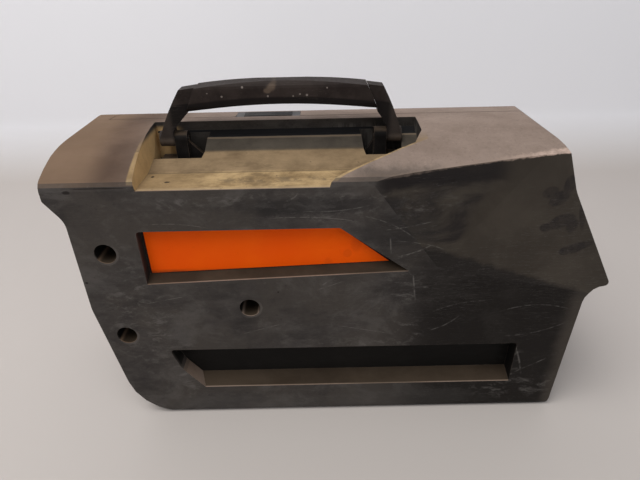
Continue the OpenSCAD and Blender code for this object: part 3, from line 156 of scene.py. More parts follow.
class Maker:
    """Builds one node material; every method but node and join returns the socket that holds its result."""

    def __init__(self, name):
        self.mat = bpy.data.materials.new(name)
        self.mat.use_nodes = True
        self.tree = self.mat.node_tree
        self.shader = self.tree.nodes["Principled BSDF"]
        self.place = self.node("TexCoord").outputs["Object"]

    def node(self, kind, inputs=(), **settings):
        """A new node with these settings, whose inputs are joined to sockets or set to values."""
        made = self.tree.nodes.new("ShaderNode" + kind)
        for key, value in settings.items():
            setattr(made, key, value)
        for key, value in dict(inputs).items():
            self.join(value, made.inputs[key])
        return made

    def join(self, value, socket):
        if isinstance(value, bpy.types.NodeSocket):
            self.tree.links.new(value, socket)
        elif isinstance(value, tuple) and len(value) == 3 and socket.type == "RGBA":
            socket.default_value = (*value, 1)
        else:
            socket.default_value = value

    def math(self, op, a, b=0.0, clamp=False):
        return self.node("Math", {0: a, 1: b}, operation=op, use_clamp=clamp).outputs[0]

    def plus(self, a, b, clamp=False):
        return self.math("ADD", a, b, clamp)

    def minus(self, a, b):
        return self.math("SUBTRACT", a, b)

    def times(self, a, b):
        return self.math("MULTIPLY", a, b)

    def far(self, u, v):
        """The length of (u, v)."""
        return self.math("SQRT", self.plus(self.times(u, u), self.times(v, v)))

    def ramp(self, value, start, slope, base):
        """A straight line: base at start, rising by slope."""
        return self.plus(self.times(self.minus(value, start), slope), base)

    def shaken(self, value, noise, reach):
        """Value moved up and down by the noise, reach in all, which makes a mask's edge ragged."""
        return self.plus(value, self.times(self.minus(noise, 0.5), reach))

    def mix(self, fac, a, b):
        return self.node("Mix", {"Factor": fac, 6: a, 7: b}, data_type="RGBA").outputs[2]

    def wash(self, tone, mask, amount, colour):
        """Colour laid over tone where the mask is, at most by amount."""
        return self.mix(self.times(mask, amount), tone, colour)

    def steps(self, value, low, high, to_low=0.0, to_high=1.0):
        """A soft step from to_low, at low, to to_high, at high."""
        values = {"Value": value, "From Min": low, "From Max": high, "To Min": to_low, "To Max": to_high}
        return self.node("MapRange", values, interpolation_type="SMOOTHSTEP").outputs["Result"]

    def stretch(self, scale, turn=(0, 0, 0), move=(0, 0, 0)):
        """The object's own coordinates, scaled, turned by degrees and moved."""
        values = {"Vector": self.place, "Scale": scale, "Rotation": [math.radians(a) for a in turn],
                  "Location": move}
        return self.node("Mapping", values).outputs["Vector"]

    def noise(self, scale, detail=3.0, rough=0.55, where=None, warp=0.0):
        values = {"Vector": where or self.place, "Scale": scale, "Detail": detail, "Roughness": rough,
                  "Distortion": warp}
        return self.node("TexNoise", values).outputs["Fac"]

    def spread(self, scale, detail, rough, low, high, to_low=0.0, to_high=1.0):
        """Patches of noise, with soft edges between low and high."""
        return self.steps(self.noise(scale, detail, rough), low, high, to_low, to_high)

    def axis(self, name, source=None):
        return self.node("SeparateXYZ", {0: source or self.place}).outputs[name]

    def normal(self, name):
        return self.axis(name, self.node("NewGeometry").outputs["Normal"])

    def band(self, value, low, high, soft):
        """1 between low and high, falling to 0 over soft on each side."""
        return self.times(self.steps(value, low - soft, low + soft),
                         self.steps(value, high - soft, high + soft, 1.0, 0.0))

    def all_of(self, *masks):
        out = masks[0]
        for m in masks[1:]:
            out = self.times(out, m)
        return out

    def any_of(self, *masks):
        out = masks[0]
        for m in masks[1:]:
            out = self.math("MAXIMUM", out, m)
        return out

    def bump(self, height, strength, distance, under=None):
        values = {"Strength": strength, "Distance": distance, "Height": height}
        if under:
            values["Normal"] = under
        return self.node("Bump", values).outputs["Normal"]

    def edges(self, radius):
        """Where the surface turns sharply within radius."""
        soft = self.node("Bevel", {"Radius": radius}, samples=6).outputs["Normal"]
        true = self.node("NewGeometry").outputs["Normal"]
        alike = self.node("VectorMath", {0: soft, 1: true}, operation="DOT_PRODUCT").outputs["Value"]
        return self.steps(alike, 0.97, 0.75)

    def done(self, colour, rough, metal, normal, specular=None):
        self.join(colour, self.shader.inputs["Base Color"])
        self.join(rough, self.shader.inputs["Roughness"])
        self.shader.inputs["Metallic"].default_value = metal
        if specular is not None:
            self.shader.inputs["Specular IOR Level"].default_value = specular
        self.join(normal, self.shader.inputs["Normal"])
        return self.mat


SCRATCH = 0.008  # half-width of a scratch, as a span of its noise


def scratches(m, count, scale, seed):
    """Fine straight marks that run several ways across the surface."""
    found = []
    for i in range(count):
        turn = (17 * i + 5 * seed, 50 * i + 23 * seed, 31 * i)
        where = m.stretch((1.0, 1.0, 14.0), turn, (0.3 * i + seed, 0.7 * i, 0.1 * seed))
        run = m.noise(scale, 2.0, 0.5, where)
        broken = m.steps(m.noise(9, 2, 0.5, m.stretch((1, 1, 1), move=(i, seed, 2 * i))), 0.5, 0.62)
        found.append(m.all_of(m.steps(run, 0.5 - SCRATCH, 0.5), m.steps(run, 0.5, 0.5 + SCRATCH, 1.0, 0.0),
                              broken))
    return m.any_of(*found)


def plain(name, colour, rough, metal, speckle, grain=900.0, bump=0.08, specular=None):
    """A moulded or machined finish: faint blotches, dust in patches and a fine grain."""
    m = Maker(name)
    dark = tuple(c * (1 - speckle) for c in colour)
    light = tuple(min(1.0, c * (1 + speckle) + 0.004) for c in colour)
    tone = m.mix(m.spread(38, 4, 0.6, 0.35, 0.65), dark, light)
    tone = m.wash(tone, m.spread(14, 5, 0.65, 0.52, 0.75), 0.25, (0.2, 0.17, 0.14))
    wear = m.edges(0.0008)
    tone = m.wash(tone, wear, 0.35, tuple(min(1.0, c * 1.6 + 0.03) for c in colour))
    fine = m.noise(grain, 2.0, 0.5)
    return m.done(tone, m.steps(m.noise(60, 3), 0.3, 0.7, rough - 0.08, rough + 0.12), metal,
                  m.bump(fine, bump, 0.0004), specular)

# ---- The moulded shell ---------------------------------------------------------


def patch(m, x, z, mid_x, mid_z, wide, high, soft, ragged, seed, lean=0.0):
    """1 inside a ragged oval of the side view: middle and half-widths in millimetres, lean in degrees."""
    dx, dz = m.minus(x, mid_x * MM), m.minus(z, mid_z * MM)
    c, s = math.cos(math.radians(lean)), math.sin(math.radians(lean))
    u = m.plus(m.times(dx, c / (wide * MM)), m.times(dz, s / (wide * MM)))
    v = m.minus(m.times(dz, c / (high * MM)), m.times(dx, s / (high * MM)))
    coarse = m.noise(55, 4, 0.65, m.stretch((1, 1, 1), move=(seed, 0, seed)))
    edge = m.shaken(m.far(u, v), coarse, 2.2 * ragged)
    return m.steps(edge, 1.0 - soft * 0.5, 1.0 + soft * 0.5, 1.0, 0.0)


def spot(m, x, y, mid_x, mid_y, wide, deep, seed):
    """1 inside a ragged oval of the top view: middle and half-widths in millimetres."""
    u = m.times(m.minus(x, mid_x * MM), 1.0 / (wide * MM))
    v = m.times(m.minus(y, mid_y * MM), 1.0 / (deep * MM))
    coarse = m.noise(90, 5, 0.7, m.stretch((1, 1, 1), move=(seed, seed, 0)))
    return m.steps(m.shaken(m.far(u, v), coarse, 2.4), 0.6, 1.25, 1.0, 0.0)


def mark(m, x, z, start, end, width, sag):
    """A single scratch of the side view, from start to end, all in millimetres."""
    a, b = (Vector([c / 1000 for c in point]) for point in (start, end))
    along = (b - a).normalized()
    length = (b - a).length
    dx, dz = m.minus(x, a.x), m.minus(z, a.y)
    u = m.plus(m.times(dx, along.x), m.times(dz, along.y))
    v = m.minus(m.times(dz, along.x), m.times(dx, along.y))
    if sag:
        t = m.times(u, 1.0 / length)
        v = m.minus(v, m.times(m.times(t, m.minus(1.0, t)), 4 * sag * MM))
    thin = m.steps(m.math("ABSOLUTE", v), width * MM * 0.3, width * MM, 1.0, 0.0)
    broken = m.spread(170, 3, 0.6, 0.4, 0.58, 0.1, 1.0)
    return m.all_of(thin, m.band(u, 0.0, length, length * 0.12), broken)


def any_row(m, shape, a, b, rows):
    """1 where any row of a table gives a patch, a spot or a mark."""
    return m.any_of(*[shape(m, a, b, *row) for row in rows])


# Scratches of the near side, in millimetres: ends in X and Z, width and sag
LONG_SCRATCHES = [
    ((49, 195), (80, 208), 0.8, 0), ((49, 197), (76, 205), 0.7, 0), ((43.6, 217), (45, 202), 0.9, 0),
    ((67, 177), (71, 148), 1.0, 0), ((160, 134), (219, 135), 0.7, 5), ((169, 101), (220, 115), 0.6, -3),
    ((90, 111), (115, 127), 0.8, -2), ((-18, 168), (-7, 176), 0.8, 0), ((-22, 163), (2, 172), 0.5, 0),
    ((50, 70), (53, 76), 1.6, 0), ((186, 52), (212, 68), 0.9, 0), ((178, 88), (191, 50), 1.2, 1),
    ((-170, 236), (-120, 232), 0.5, 2), ((-60, 240), (10, 236), 0.6, 2), ((-30, 246), (22, 250), 0.6, -2),
    ((20, 240), (64, 218), 0.6, 3), ((40, 226), (78, 231), 0.6, 0), ((52, 214), (92, 204), 0.5, 2),
    ((-48, 256), (-38, 262), 1.0, -1), ((-190, 150), (-150, 158), 0.5, 0), ((-100, 110), (-60, 122), 0.5, 0),
    ((0, 118), (46, 108), 0.5, 0), ((71, 163.5), (82, 163.3), 1.3, 0), ((90, 134), (138, 146), 0.5, 3),
]

# Patches of the near side: middle in X and Z and half-widths in millimetres, then softness, raggedness,
# seed and lean in degrees
SCUFFS = [
    (60, 165, 16, 22, 0.9, 0.5, 2), (66, 112, 14, 26, 0.9, 0.5, 6), (176, 66, 10, 26, 0.9, 0.5, 8),
    (186, 30, 50, 16, 0.9, 0.5, 10), (-196, 130, 30, 70, 0.9, 0.5, 12), (20, 246, 75, 12, 0.9, 0.5, 14),
    (-60, 256, 130, 8, 0.9, 0.6, 16), (20, 97, 60, 6, 0.9, 0.6, 18), (-160, 60, 16, 36, 0.9, 0.6, 20),
]
SMOKE = [(70, 16, 80, 15, 0.9, 0.45, 21), (-100, 12, 90, 12, 1.0, 0.5, 22)]
DARK_WIPES = [(-20, 251, 80, 7.5, 0.8, 0.8, 11), (50, 226, 34, 16, 0.8, 0.6, 13)]
NICKS = [
    (-243, 289, 2.6, 1.0, 0.4, 0.7, 0), (-232, 268, 3.2, 1.5, 0.4, 0.7, 3),
    (-205, 271, 22, 0.5, 0.4, 0.7, 6), (-243, 212, 1.3, 2.2, 0.4, 0.7, 9),
    (-238, 176, 1.6, 1.2, 0.4, 0.7, 12), (-60, 161, 0.9, 0.9, 0.4, 0.7, 15), (96, 268, 2, 1.4, 0.4, 0.7, 18),
]
FINGER_MARKS = [
    (187, 251, 7.5, 5.0, 0.35, 0.5, 0, 10), (196, 246, 9.5, 6.0, 0.35, 0.5, 2, 25),
    (204, 258, 5.5, 9.0, 0.35, 0.5, 4, -20), (186, 219, 5.5, 4.2, 0.35, 0.5, 6),
    (201, 224.5, 13.0, 6.0, 0.35, 0.5, 8, 18), (210, 221, 6.0, 7.5, 0.35, 0.5, 10),
    (219, 199, 14.0, 4.2, 0.35, 0.5, 12, 15), (207, 195.5, 5.0, 3.6, 0.35, 0.5, 14),
    (218.5, 230, 3.0, 15.0, 0.35, 0.5, 16, 8),
]

# Spots of the handle recess: middle in X and Y and half-widths in millimetres, and seed
GRIME = [(-62, -80, 50, 7, 31), (8, -78, 16, 8, 32), (-40, -50, 60, 6, 33), (40, -62, 40, 12, 34)]
CRUMBS = [(-152, -81.5, 2.6, 2.0, 35), (4, -81.5, 2.0, 2.0, 36), (-168, -69, 1.5, 2.0, 37)]

# The two long recesses of the near side: bounds in X and in Z, how much painted shade and grime, and its
# colour
SIDE_RECESSES = [
    ((-0.181, 0.184), (0.036, 0.0925), 0.93, (0.0032, 0.0027, 0.0022)),
    ((-0.184, 0.062), (0.172, 0.2305), 0.7, (0.006, 0.0045, 0.0038)),
]
WELLS = [(-0.2135, 0.207), (-0.214, 0.112), (-0.0885, 0.143)]  # middles of the screw wells in X and Z
WELL_FLOOR, WELL_RIM = (0.0108, 0.0104), (0.0125, 0.0115)  # where the shade and the rim's dust fade out
FACET_LEAN = (0.07, 0.3)  # how far the facet's normal points upwards


def moulded_tone(m, x, z, streak):
    """The sides' own colour: streaky grey, darker and browner towards the front, with rubs."""
    tone = m.mix(m.steps(streak, 0.3, 0.72), (0.027, 0.0235, 0.0222), (0.068, 0.06, 0.0555))
    tone = m.mix(m.steps(m.noise(11, 5, 0.6, warp=0.8), 0.38, 0.66), tone, (0.056, 0.048, 0.042))
    tone = m.wash(tone, m.steps(x, 0.02, 0.12), 0.78, (0.009, 0.0072, 0.0064))
    rubs = m.noise(19, 9, 0.7, m.stretch((0.9, 1.0, 1.2), (0, -14, 0), (0.2, 0, 0.4)), 0.5)
    rubbed = m.times(m.steps(rubs, 0.48, 0.66), m.steps(x, 0.16, -0.02, 0.22, 0.5))
    tone = m.mix(rubbed, tone, (0.108, 0.098, 0.091))
    tone = m.wash(tone, m.steps(rubs, 0.46, 0.34), 0.4, (0.022, 0.0195, 0.019))
    fine = m.noise(260, 3, 0.7)
    tone = m.wash(tone, m.steps(fine, 0.58, 0.74), 0.3, (0.105, 0.094, 0.087))
    tone = m.wash(tone, m.steps(fine, 0.42, 0.28), 0.3, (0.014, 0.012, 0.0115))
    corner = m.times(m.steps(x, 0.05, 0.095), m.steps(z, 0.195, 0.165))
    return m.wash(tone, corner, 0.62, (0.005, 0.0036, 0.0026))


def facet_film(m, x, z, crease, near):
    """The leaning facet: an even brown dust film with wiped and fingered places, and painted shade right
    under the crease.
    """
    film = m.mix(m.steps(m.noise(24, 4, 0.6, warp=0.4), 0.35, 0.7),
                 (0.036, 0.029, 0.0225), (0.05, 0.041, 0.032))
    reach = m.minus(x, m.ramp(z, 0.225, 0.45, 0.11))
    wiped = m.steps(m.shaken(reach, m.noise(30, 3, 0.5), 0.03), 0.006, -0.006)
    smear = m.mix(m.steps(m.noise(26, 5, 0.66, m.stretch((0.6, 1.0, 1.5), (0, 12, 0)), 0.7), 0.34, 0.62),
                  (0.0185, 0.015, 0.014), (0.05, 0.0415, 0.0325))
    film = m.mix(wiped, film, smear)
    # painted shade right under the crease, where the crown's lip overhangs the facet
    deep = m.minus(m.shaken(crease, m.noise(40, 3, 0.6), 0.012), m.times(m.minus(x, 0.07), 0.1))
    under = m.all_of(m.steps(deep, 0.015, 0.009), m.steps(x, 0.156, 0.132))
    film = m.wash(film, under, 0.85, (0.0095, 0.0075, 0.0076))
    # the film ends on a ragged line above the facet's lower edge
    fall = m.minus(m.times(m.minus(x, 0.08), -0.345), m.minus(z, 0.2079))
    fall = m.shaken(fall, m.noise(70, 5, 0.7), 0.012)
    film = m.mix(m.steps(fall, -0.001, 0.006, 0.0, 0.88), film, (0.012, 0.01, 0.0092))
    if near:
        prints = m.times(any_row(m, patch, x, z, FINGER_MARKS),
                         m.spread(130, 4, 0.7, 0.35, 0.65, 0.45, 0.85))
        film = m.mix(prints, film, (0.015, 0.0118, 0.0118))
    return film


def near_side_wear(m, tone, x, z, side):
    """Scuffs, smoky places, a dusty strip along the front edge, dark wipes, scratches and nicks."""
    torn = m.steps(m.noise(70, 5, 0.75, m.stretch((0.8, 1.0, 1.6), (0, 24, 0)), 0.5), 0.5, 0.66)
    scuffs = m.times(torn, any_row(m, patch, x, z, SCUFFS))
    tone = m.wash(tone, m.times(scuffs, side), 0.45, (0.15, 0.138, 0.128))
    tone = m.wash(tone, m.times(any_row(m, patch, x, z, SMOKE), side), 0.2, (0.088, 0.082, 0.077))
    bent = m.shaken(x, m.noise(36, 4, 0.6), 0.014)
    hem = m.all_of(m.steps(bent, 0.214, 0.23), m.steps(z, 0.168, 0.14), side)
    tone = m.wash(tone, hem, 0.55, (0.082, 0.068, 0.056))
    tone = m.wash(tone, m.times(any_row(m, patch, x, z, DARK_WIPES), side), 0.55, (0.018, 0.0165, 0.0165))
    tone = m.wash(tone, m.times(any_row(m, mark, x, z, LONG_SCRATCHES), side), 0.36, (0.21, 0.195, 0.18))
    return m.wash(tone, any_row(m, patch, x, z, NICKS), 0.8, (0.01, 0.007, 0.006))


def side_hollows(m, tone, x, y, z, nz):
    """Painted shade with some grime in the side recesses, painted shade in the screw wells, and dust on the
    wells' rims.
    """
    inside = m.steps(y, -0.0992, -0.0955)
    for across, upright, amount, colour in SIDE_RECESSES:
        hollow = m.all_of(inside, m.band(x, *across, 0.001), m.band(z, *upright, 0.001),
                          m.steps(nz, 0.6, 0.3))
        # painted shade, with some grime, darkens the inside of each recess
        tone = m.wash(tone, hollow, amount, colour)
    for mid_x, mid_z in WELLS:
        u, v = m.minus(x, mid_x), m.minus(z, mid_z)
        far = m.far(u, v)
        low_right = m.steps(m.minus(u, v), -0.004, 0.012)
        rim = m.all_of(m.steps(m.shaken(far, m.noise(220, 3), 0.0035), *WELL_RIM), low_right,
                       m.steps(y, -0.099, -0.0996))
        tone = m.wash(tone, rim, 0.45, (0.125, 0.11, 0.098))
        # painted shade on the floors of the screw wells
        tone = m.mix(m.all_of(m.steps(far, *WELL_FLOOR), m.steps(y, -0.0996, -0.0975)), tone,
                     (0.006, 0.005, 0.0045))
    return tone


def top_dust(m, x, y, z, dust_noise):
    """Dust on what faces up, outside the handle recess."""
    dust = m.mix(m.steps(dust_noise, 0.3, 0.7), (0.212, 0.159, 0.129), (0.296, 0.228, 0.19))
    grit = m.noise(340, 3, 0.75)
    dust = m.wash(dust, m.steps(grit, 0.52, 0.74), 0.4, (0.13, 0.098, 0.08))
    dust = m.wash(dust, m.steps(grit, 0.42, 0.26), 0.35, (0.4, 0.318, 0.268))
    # thin and rubbed beside the recess and along the crown's near edge
    brow = m.shaken(m.minus(y, -0.094), m.noise(60, 6, 0.7), 0.03)
    thin_dust = m.all_of(m.steps(brow, 0.014, -0.002), m.band(x, 0.01, 0.085, 0.012))
    dust = m.wash(dust, thin_dust, 0.72, (0.085, 0.069, 0.058))
    # brown at the rear end, and warmest low on both ends
    brown = m.mix(m.steps(dust_noise, 0.3, 0.7), (0.088, 0.056, 0.04), (0.14, 0.092, 0.066))
    dust = m.mix(m.steps(x, -0.13, -0.2), dust, brown)
    warm = m.any_of(m.steps(x, -0.196, -0.225), m.steps(z, 0.268, 0.28, 0.55, 0.0))
    return m.wash(dust, warm, 0.5, (0.25, 0.165, 0.105))


def recess_dust(m, x, y, z, run):
    """Ochre dust on the floor of the handle recess, with grime, patches and crumbs of paint."""
    pale = m.mix(m.steps(x, -0.15, -0.1), (0.33, 0.225, 0.115), (0.5, 0.35, 0.18))
    ledge = m.mix(m.steps(run, 0.36, 0.6), (0.215, 0.142, 0.07), pale)
    grime = m.times(any_row(m, spot, x, y, GRIME), m.spread(75, 5, 0.7, 0.42, 0.6))
    ledge = m.wash(ledge, grime, 0.6, (0.11, 0.08, 0.052))
    slope = m.mix(m.steps(run, 0.3, 0.7), (0.16, 0.108, 0.06), (0.315, 0.222, 0.128))
    ledge = m.mix(m.steps(y, -0.063, -0.057), ledge, slope)
    patches = m.steps(m.noise(46, 6, 0.72, m.stretch((0.6, 1.6, 1.0), move=(3, 1, 0))), 0.55, 0.63)
    ledge = m.wash(ledge, patches, 0.45, (0.135, 0.092, 0.052))
    # darker where the ledge meets the slope, paler along its brink
    foot = m.band(m.shaken(y, run, 0.006), -0.0625, -0.06, 0.0008)
    ledge = m.wash(ledge, foot, 0.5, (0.09, 0.066, 0.044))
    brink = m.steps(m.shaken(y, run, 0.01), -0.0935, -0.0975)
    ledge = m.wash(ledge, brink, 0.45, (0.4, 0.3, 0.185))
    specks = m.spread(120, 2, 0.5, 0.7, 0.76)
    crumbs = m.any_of(m.times(specks, 0.5), any_row(m, spot, x, y, CRUMBS))
    ledge = m.mix(crumbs, ledge, (0.05, 0.032, 0.02))
    # grey beyond the handle, clean black down the far wall, and painted shade, black and free of dust, in
    # the pockets
    grey = m.mix(m.steps(run, 0.3, 0.7), (0.05, 0.042, 0.033), (0.088, 0.074, 0.058))
    ledge = m.mix(m.all_of(m.steps(y, -0.0265, -0.0235), m.steps(z, 0.27, 0.277)), ledge, grey)
    drop = m.shaken(y, m.noise(90, 5, 0.7), 0.0012)
    ledge = m.wash(ledge, m.band(drop, -0.0136, -0.0118, 0.0005), 0.7, (0.2, 0.15, 0.105))
    ledge = m.mix(m.steps(drop, -0.0122, -0.0112), ledge, (0.0125, 0.012, 0.013))
    # painted shade: the pockets below the ledge are painted near black
    return m.mix(m.steps(z, 0.2674, 0.2664), ledge, (0.01, 0.008, 0.007))


def shell_material(name, near=True):
    """The shell's plastic: streaky and worn on the sides, dusty on what faces up."""
    m = Maker(name)
    x, y, z, nz = m.axis("X"), m.axis("Y"), m.axis("Z"), m.normal("Z")
    flat = m.math("ABSOLUTE", m.normal("Y"))
    up, side = m.steps(nz, 0.42, 0.72), m.steps(flat, 0.55, 0.8)
    streak = m.noise(30, 6, 0.68, m.stretch((0.8, 1.0, 1.8), (0, 6, 0)), 0.3)
    hair = scratches(m, 4, 30.0, 3 if near else 8)

    # how far below the crown's crease a point is
    crease = m.minus(m.math("MINIMUM", m.ramp(x, 0.043, 0.096, 0.2745), m.ramp(x, 0.1, 0.058, 0.28)), z)
    facet = m.all_of(m.steps(flat, 0.9, 0.95), m.band(nz, *FACET_LEAN, 0.015), m.steps(x, 0.02, 0.04))
    tone = m.mix(facet, moulded_tone(m, x, z, streak), facet_film(m, x, z, crease, near))
    if near:
        tone = near_side_wear(m, tone, x, z, side)
    tone = m.wash(tone, m.times(hair, side), 0.22, (0.155, 0.144, 0.133))
    if near:
        tone = side_hollows(m, tone, x, y, z, nz)

    # dust on what faces up
    dust_noise = m.noise(17, 7, 0.66, m.stretch((0.7, 1.0, 1.0)), 0.12)
    front_wall = m.math("MINIMUM", m.plus(m.times(m.plus(y, 0.081), 1.75), 0.025), 0.078)
    recess = m.all_of(m.steps(x, -0.1818, -0.18), m.steps(m.minus(x, front_wall), 0.0035, 0.0015),
                      m.band(y, -0.0987, -0.0006, 0.0004), m.steps(z, 0.2955, 0.29),
                      m.steps(z, 0.25, 0.256))
    run = m.plus(m.times(m.noise(24, 6, 0.66, m.stretch((0.55, 1.2, 1.2)), 0.5), 0.55),
                 m.times(m.noise(60, 7, 0.74), 0.45))
    dust = m.mix(recess, top_dust(m, x, y, z, dust_noise), recess_dust(m, x, y, z, run))
    # ledges of the two side recesses hold a flatter grey-brown dust
    shelf = m.all_of(m.steps(nz, 0.6, 0.85), m.steps(z, 0.215, 0.205), m.steps(y, -0.0998, -0.0985))
    drab = m.mix(m.steps(dust_noise, 0.35, 0.65), (0.035, 0.024, 0.0155), (0.056, 0.04, 0.027))
    dust = m.mix(shelf, dust, drab)
    coat = m.all_of(up, m.spread(8, 5, 0.6, 0.18, 0.42, 0.86, 1.0))
    tone = m.mix(coat, tone, dust)

    # the crease is rubbed, and a painted highlight along it grows brighter and pinker towards the front
    ragged = m.shaken(crease, m.noise(160, 4, 0.7), 0.004)
    worn = m.all_of(m.band(ragged, -0.0015, 0.001, 0.0006), m.steps(x, 0.03, 0.05),
                    m.steps(y, -0.06, -0.066))
    wear_and_highlight_amount = m.times(m.steps(x, 0.08, 0.19, 0.35, 0.95),
                        m.spread(110, 4, 0.7, 0.34, 0.56, 0.35, 1.0))
    rub_and_highlight_tone = m.mix(m.steps(x, 0.12, 0.19), (0.27, 0.205, 0.165), (0.52, 0.39, 0.325))
    # painted highlight: the rubbed crease is painted pale pink, brightest at the front
    tone = m.mix(m.times(worn, wear_and_highlight_amount), tone, rub_and_highlight_tone)

    # a dust film on the rear end wall of the handle recess, painted far paler as painted light so that the
    # wall looks lit, and light rubs on its front one
    leaning = m.all_of(recess, m.steps(nz, 0.55, 0.3))
    # painted light: the film's tan is raised well above dust's colour, to stand in for light on the wall
    film = m.mix(m.steps(run, 0.35, 0.65), (0.56, 0.36, 0.165), (0.74, 0.49, 0.23))
    tone = m.wash(tone, m.times(leaning, m.steps(x, -0.15, -0.165)), 0.85, film)
    lightly = m.steps(m.noise(60, 4, 0.7, m.stretch((3.0, 3.0, 0.5))), 0.45, 0.62)
    rubbed = m.times(leaning, m.steps(x, -0.02, 0.0))
    tone = m.mix(m.times(rubbed, m.times(lightly, 0.5)), tone, (0.15, 0.138, 0.125))

    # worn edges, in broken lines
    edge = m.times(m.edges(0.0011), m.spread(40, 4, 0.6, 0.35, 0.6, 0.25, 0.9))
    edge = m.times(edge, m.spread(190, 4, 0.7, 0.38, 0.62, 0.15, 1.0))
    tone = m.wash(tone, edge, 0.36, (0.25, 0.205, 0.17))
    relief = m.bump(m.plus(m.noise(1500, 2, 0.5), m.times(hair, -1.0)), 0.1, 0.0005)
    relief = m.bump(streak, 0.05, 0.0012, relief)
    rough = m.plus(m.steps(streak, 0.25, 0.75, 0.54, 0.7), m.times(up, 0.22), True)
    return m.done(tone, rough, 0.0, relief, 0.13)


# Patches of the label and the grip, in the same order of numbers as those of the shell
STAINS = [(6, 196, 4, 4, 0.5, 0.6, 1), (14, 206, 5, 7, 0.8, 0.6, 3), (-12, 186, 4, 6, 0.7, 0.6, 5)]
GRIP_SMEARS = [(-60.5, 335.2, 5.0, 3.4, 0.8, 0.8, 41, 40), (-64, 332, 3.0, 2.2, 0.8, 0.8, 42)]
# Crumbs of paint on the grip: place in X and Z and half-size, in millimetres
GRIP_CRUMBS = [(-106, 327.5, 0.9), (-86.7, 335.4, 0.9), (-28.4, 327.5, 1.0), (-34.7, 328.5, 0.7),
               (-41, 326.8, 0.7), (-10, 333.6, 0.7), (-64, 327.2, 0.8), (-119, 330.5, 0.6)]


def label_material():
    """Bare orange plate, a little creased, stained, grimy along its top and bottom edges, with painted shade
    along its slanted edge.
    """
    m = Maker("orange_label")
    x, z = m.axis("X"), m.axis("Z")
    tone = m.mix(m.spread(16, 4, 0.6, 0.3, 0.7), (0.96, 0.1, 0.0008), (1.00, 0.12, 0.001))
    stains = m.any_of(any_row(m, patch, x, z, STAINS), m.times(m.spread(80, 4, 0.7, 0.64, 0.72), 0.5))
    tone = m.wash(tone, stains, 0.16, (0.36, 0.042, 0.004))
    folds = m.steps(m.noise(42, 3, 0.5, m.stretch((1.0, 1.0, 0.6), (0, 35, 0)), 1.6), 0.46, 0.54)
    rim = m.any_of(m.steps(z, 0.1835, 0.1795), m.steps(z, 0.2245, 0.2265))
    tone = m.mix(m.times(rim, m.spread(50, 4, 0.6, 0.3, 0.7, 0.3, 0.85)), tone, (0.22, 0.05, 0.012))
    # painted shade: a dark line along the slanted edge at the lower front, where the recess wall shades the
    # plate
    slant = m.plus(m.times(m.minus(x, 0.0472), 0.622), m.times(m.minus(z, 0.1875), 0.783))
    slant = m.shaken(slant, m.noise(120, 3, 0.6), 0.0008)
    tone = m.mix(m.steps(slant, -0.002, -0.0014), tone, (0.0075, 0.0055, 0.005))
    relief = m.bump(m.noise(700, 2, 0.5), 0.04, 0.0003)
    relief = m.bump(m.times(folds, m.steps(x, -0.03, 0.01)), 0.3, 0.0008, relief)
    return m.done(tone, m.steps(m.noise(40, 4), 0.3, 0.7, 0.4, 0.56), 0.0, relief, 0.08)


def handle_material():
    """The handle's plastic: a clean dark grip between dusty arms, with painted shade along the grip's lower
    edge.
    """
    m = Maker("handle_plastic")
    x, y, z, nz = m.axis("X"), m.axis("Y"), m.axis("Z"), m.normal("Z")
    tone = m.mix(m.spread(40, 5, 0.66, 0.3, 0.7), (0.018, 0.0132, 0.0118), (0.035, 0.0265, 0.0235))
    fine = m.noise(420, 3, 0.7)
    tone = m.wash(tone, m.steps(fine, 0.62, 0.76), 0.4, (0.085, 0.07, 0.062))
    # the arms hold more dust than the grip, most of it on their barrels
    along = m.math("ABSOLUTE", m.plus(x, 0.054))
    arms = m.times(m.steps(along, 0.092, 0.104), m.spread(60, 5, 0.7, 0.3, 0.7, 0.35, 0.75))
    tone = m.mix(arms, tone, (0.052, 0.043, 0.038))
    barrel = m.all_of(m.steps(z, 0.29, 0.285), m.steps(z, 0.279, 0.282),
                      m.spread(80, 4, 0.7, 0.35, 0.6, 0.5, 1.0))
    tone = m.wash(tone, barrel, 0.75, (0.115, 0.09, 0.072))
    # painted shade along the lower edge of the grip, where its underside curves away from the light
    arch = m.minus(m.minus(z, 0.3215), m.times(m.times(along, along), -0.75))
    lower = m.times(m.steps(arch, 0.0058, 0.0036), m.steps(along, 0.106, 0.1))
    tone = m.wash(tone, lower, 0.85, (0.0055, 0.0045, 0.0045))
    tone = m.wash(tone, m.steps(nz, 0.5, 0.9), 0.55, (0.03, 0.023, 0.02))
    tone = m.wash(tone, any_row(m, patch, x, z, GRIP_SMEARS), 0.8, (0.12, 0.088, 0.066))
    crumbs = any_row(m, patch, x, z, [(mid_x, mid_z, r, r, 0.3, 0.5, 43 + i)
                                      for i, (mid_x, mid_z, r) in enumerate(GRIP_CRUMBS)])
    tone = m.wash(tone, m.times(crumbs, m.steps(y, -0.0235, -0.0255)), 0.8, (0.24, 0.205, 0.185))
    tone = m.wash(tone, scratches(m, 3, 34.0, 5), 0.3, (0.12, 0.1, 0.09))
    tone = m.wash(tone, m.edges(0.0009), 0.25, (0.11, 0.09, 0.078))
    relief = m.bump(m.noise(1300, 2, 0.5), 0.12, 0.0004)
    return m.done(tone, m.steps(fine, 0.3, 0.7, 0.52, 0.66), 0.0, relief, 0.09)


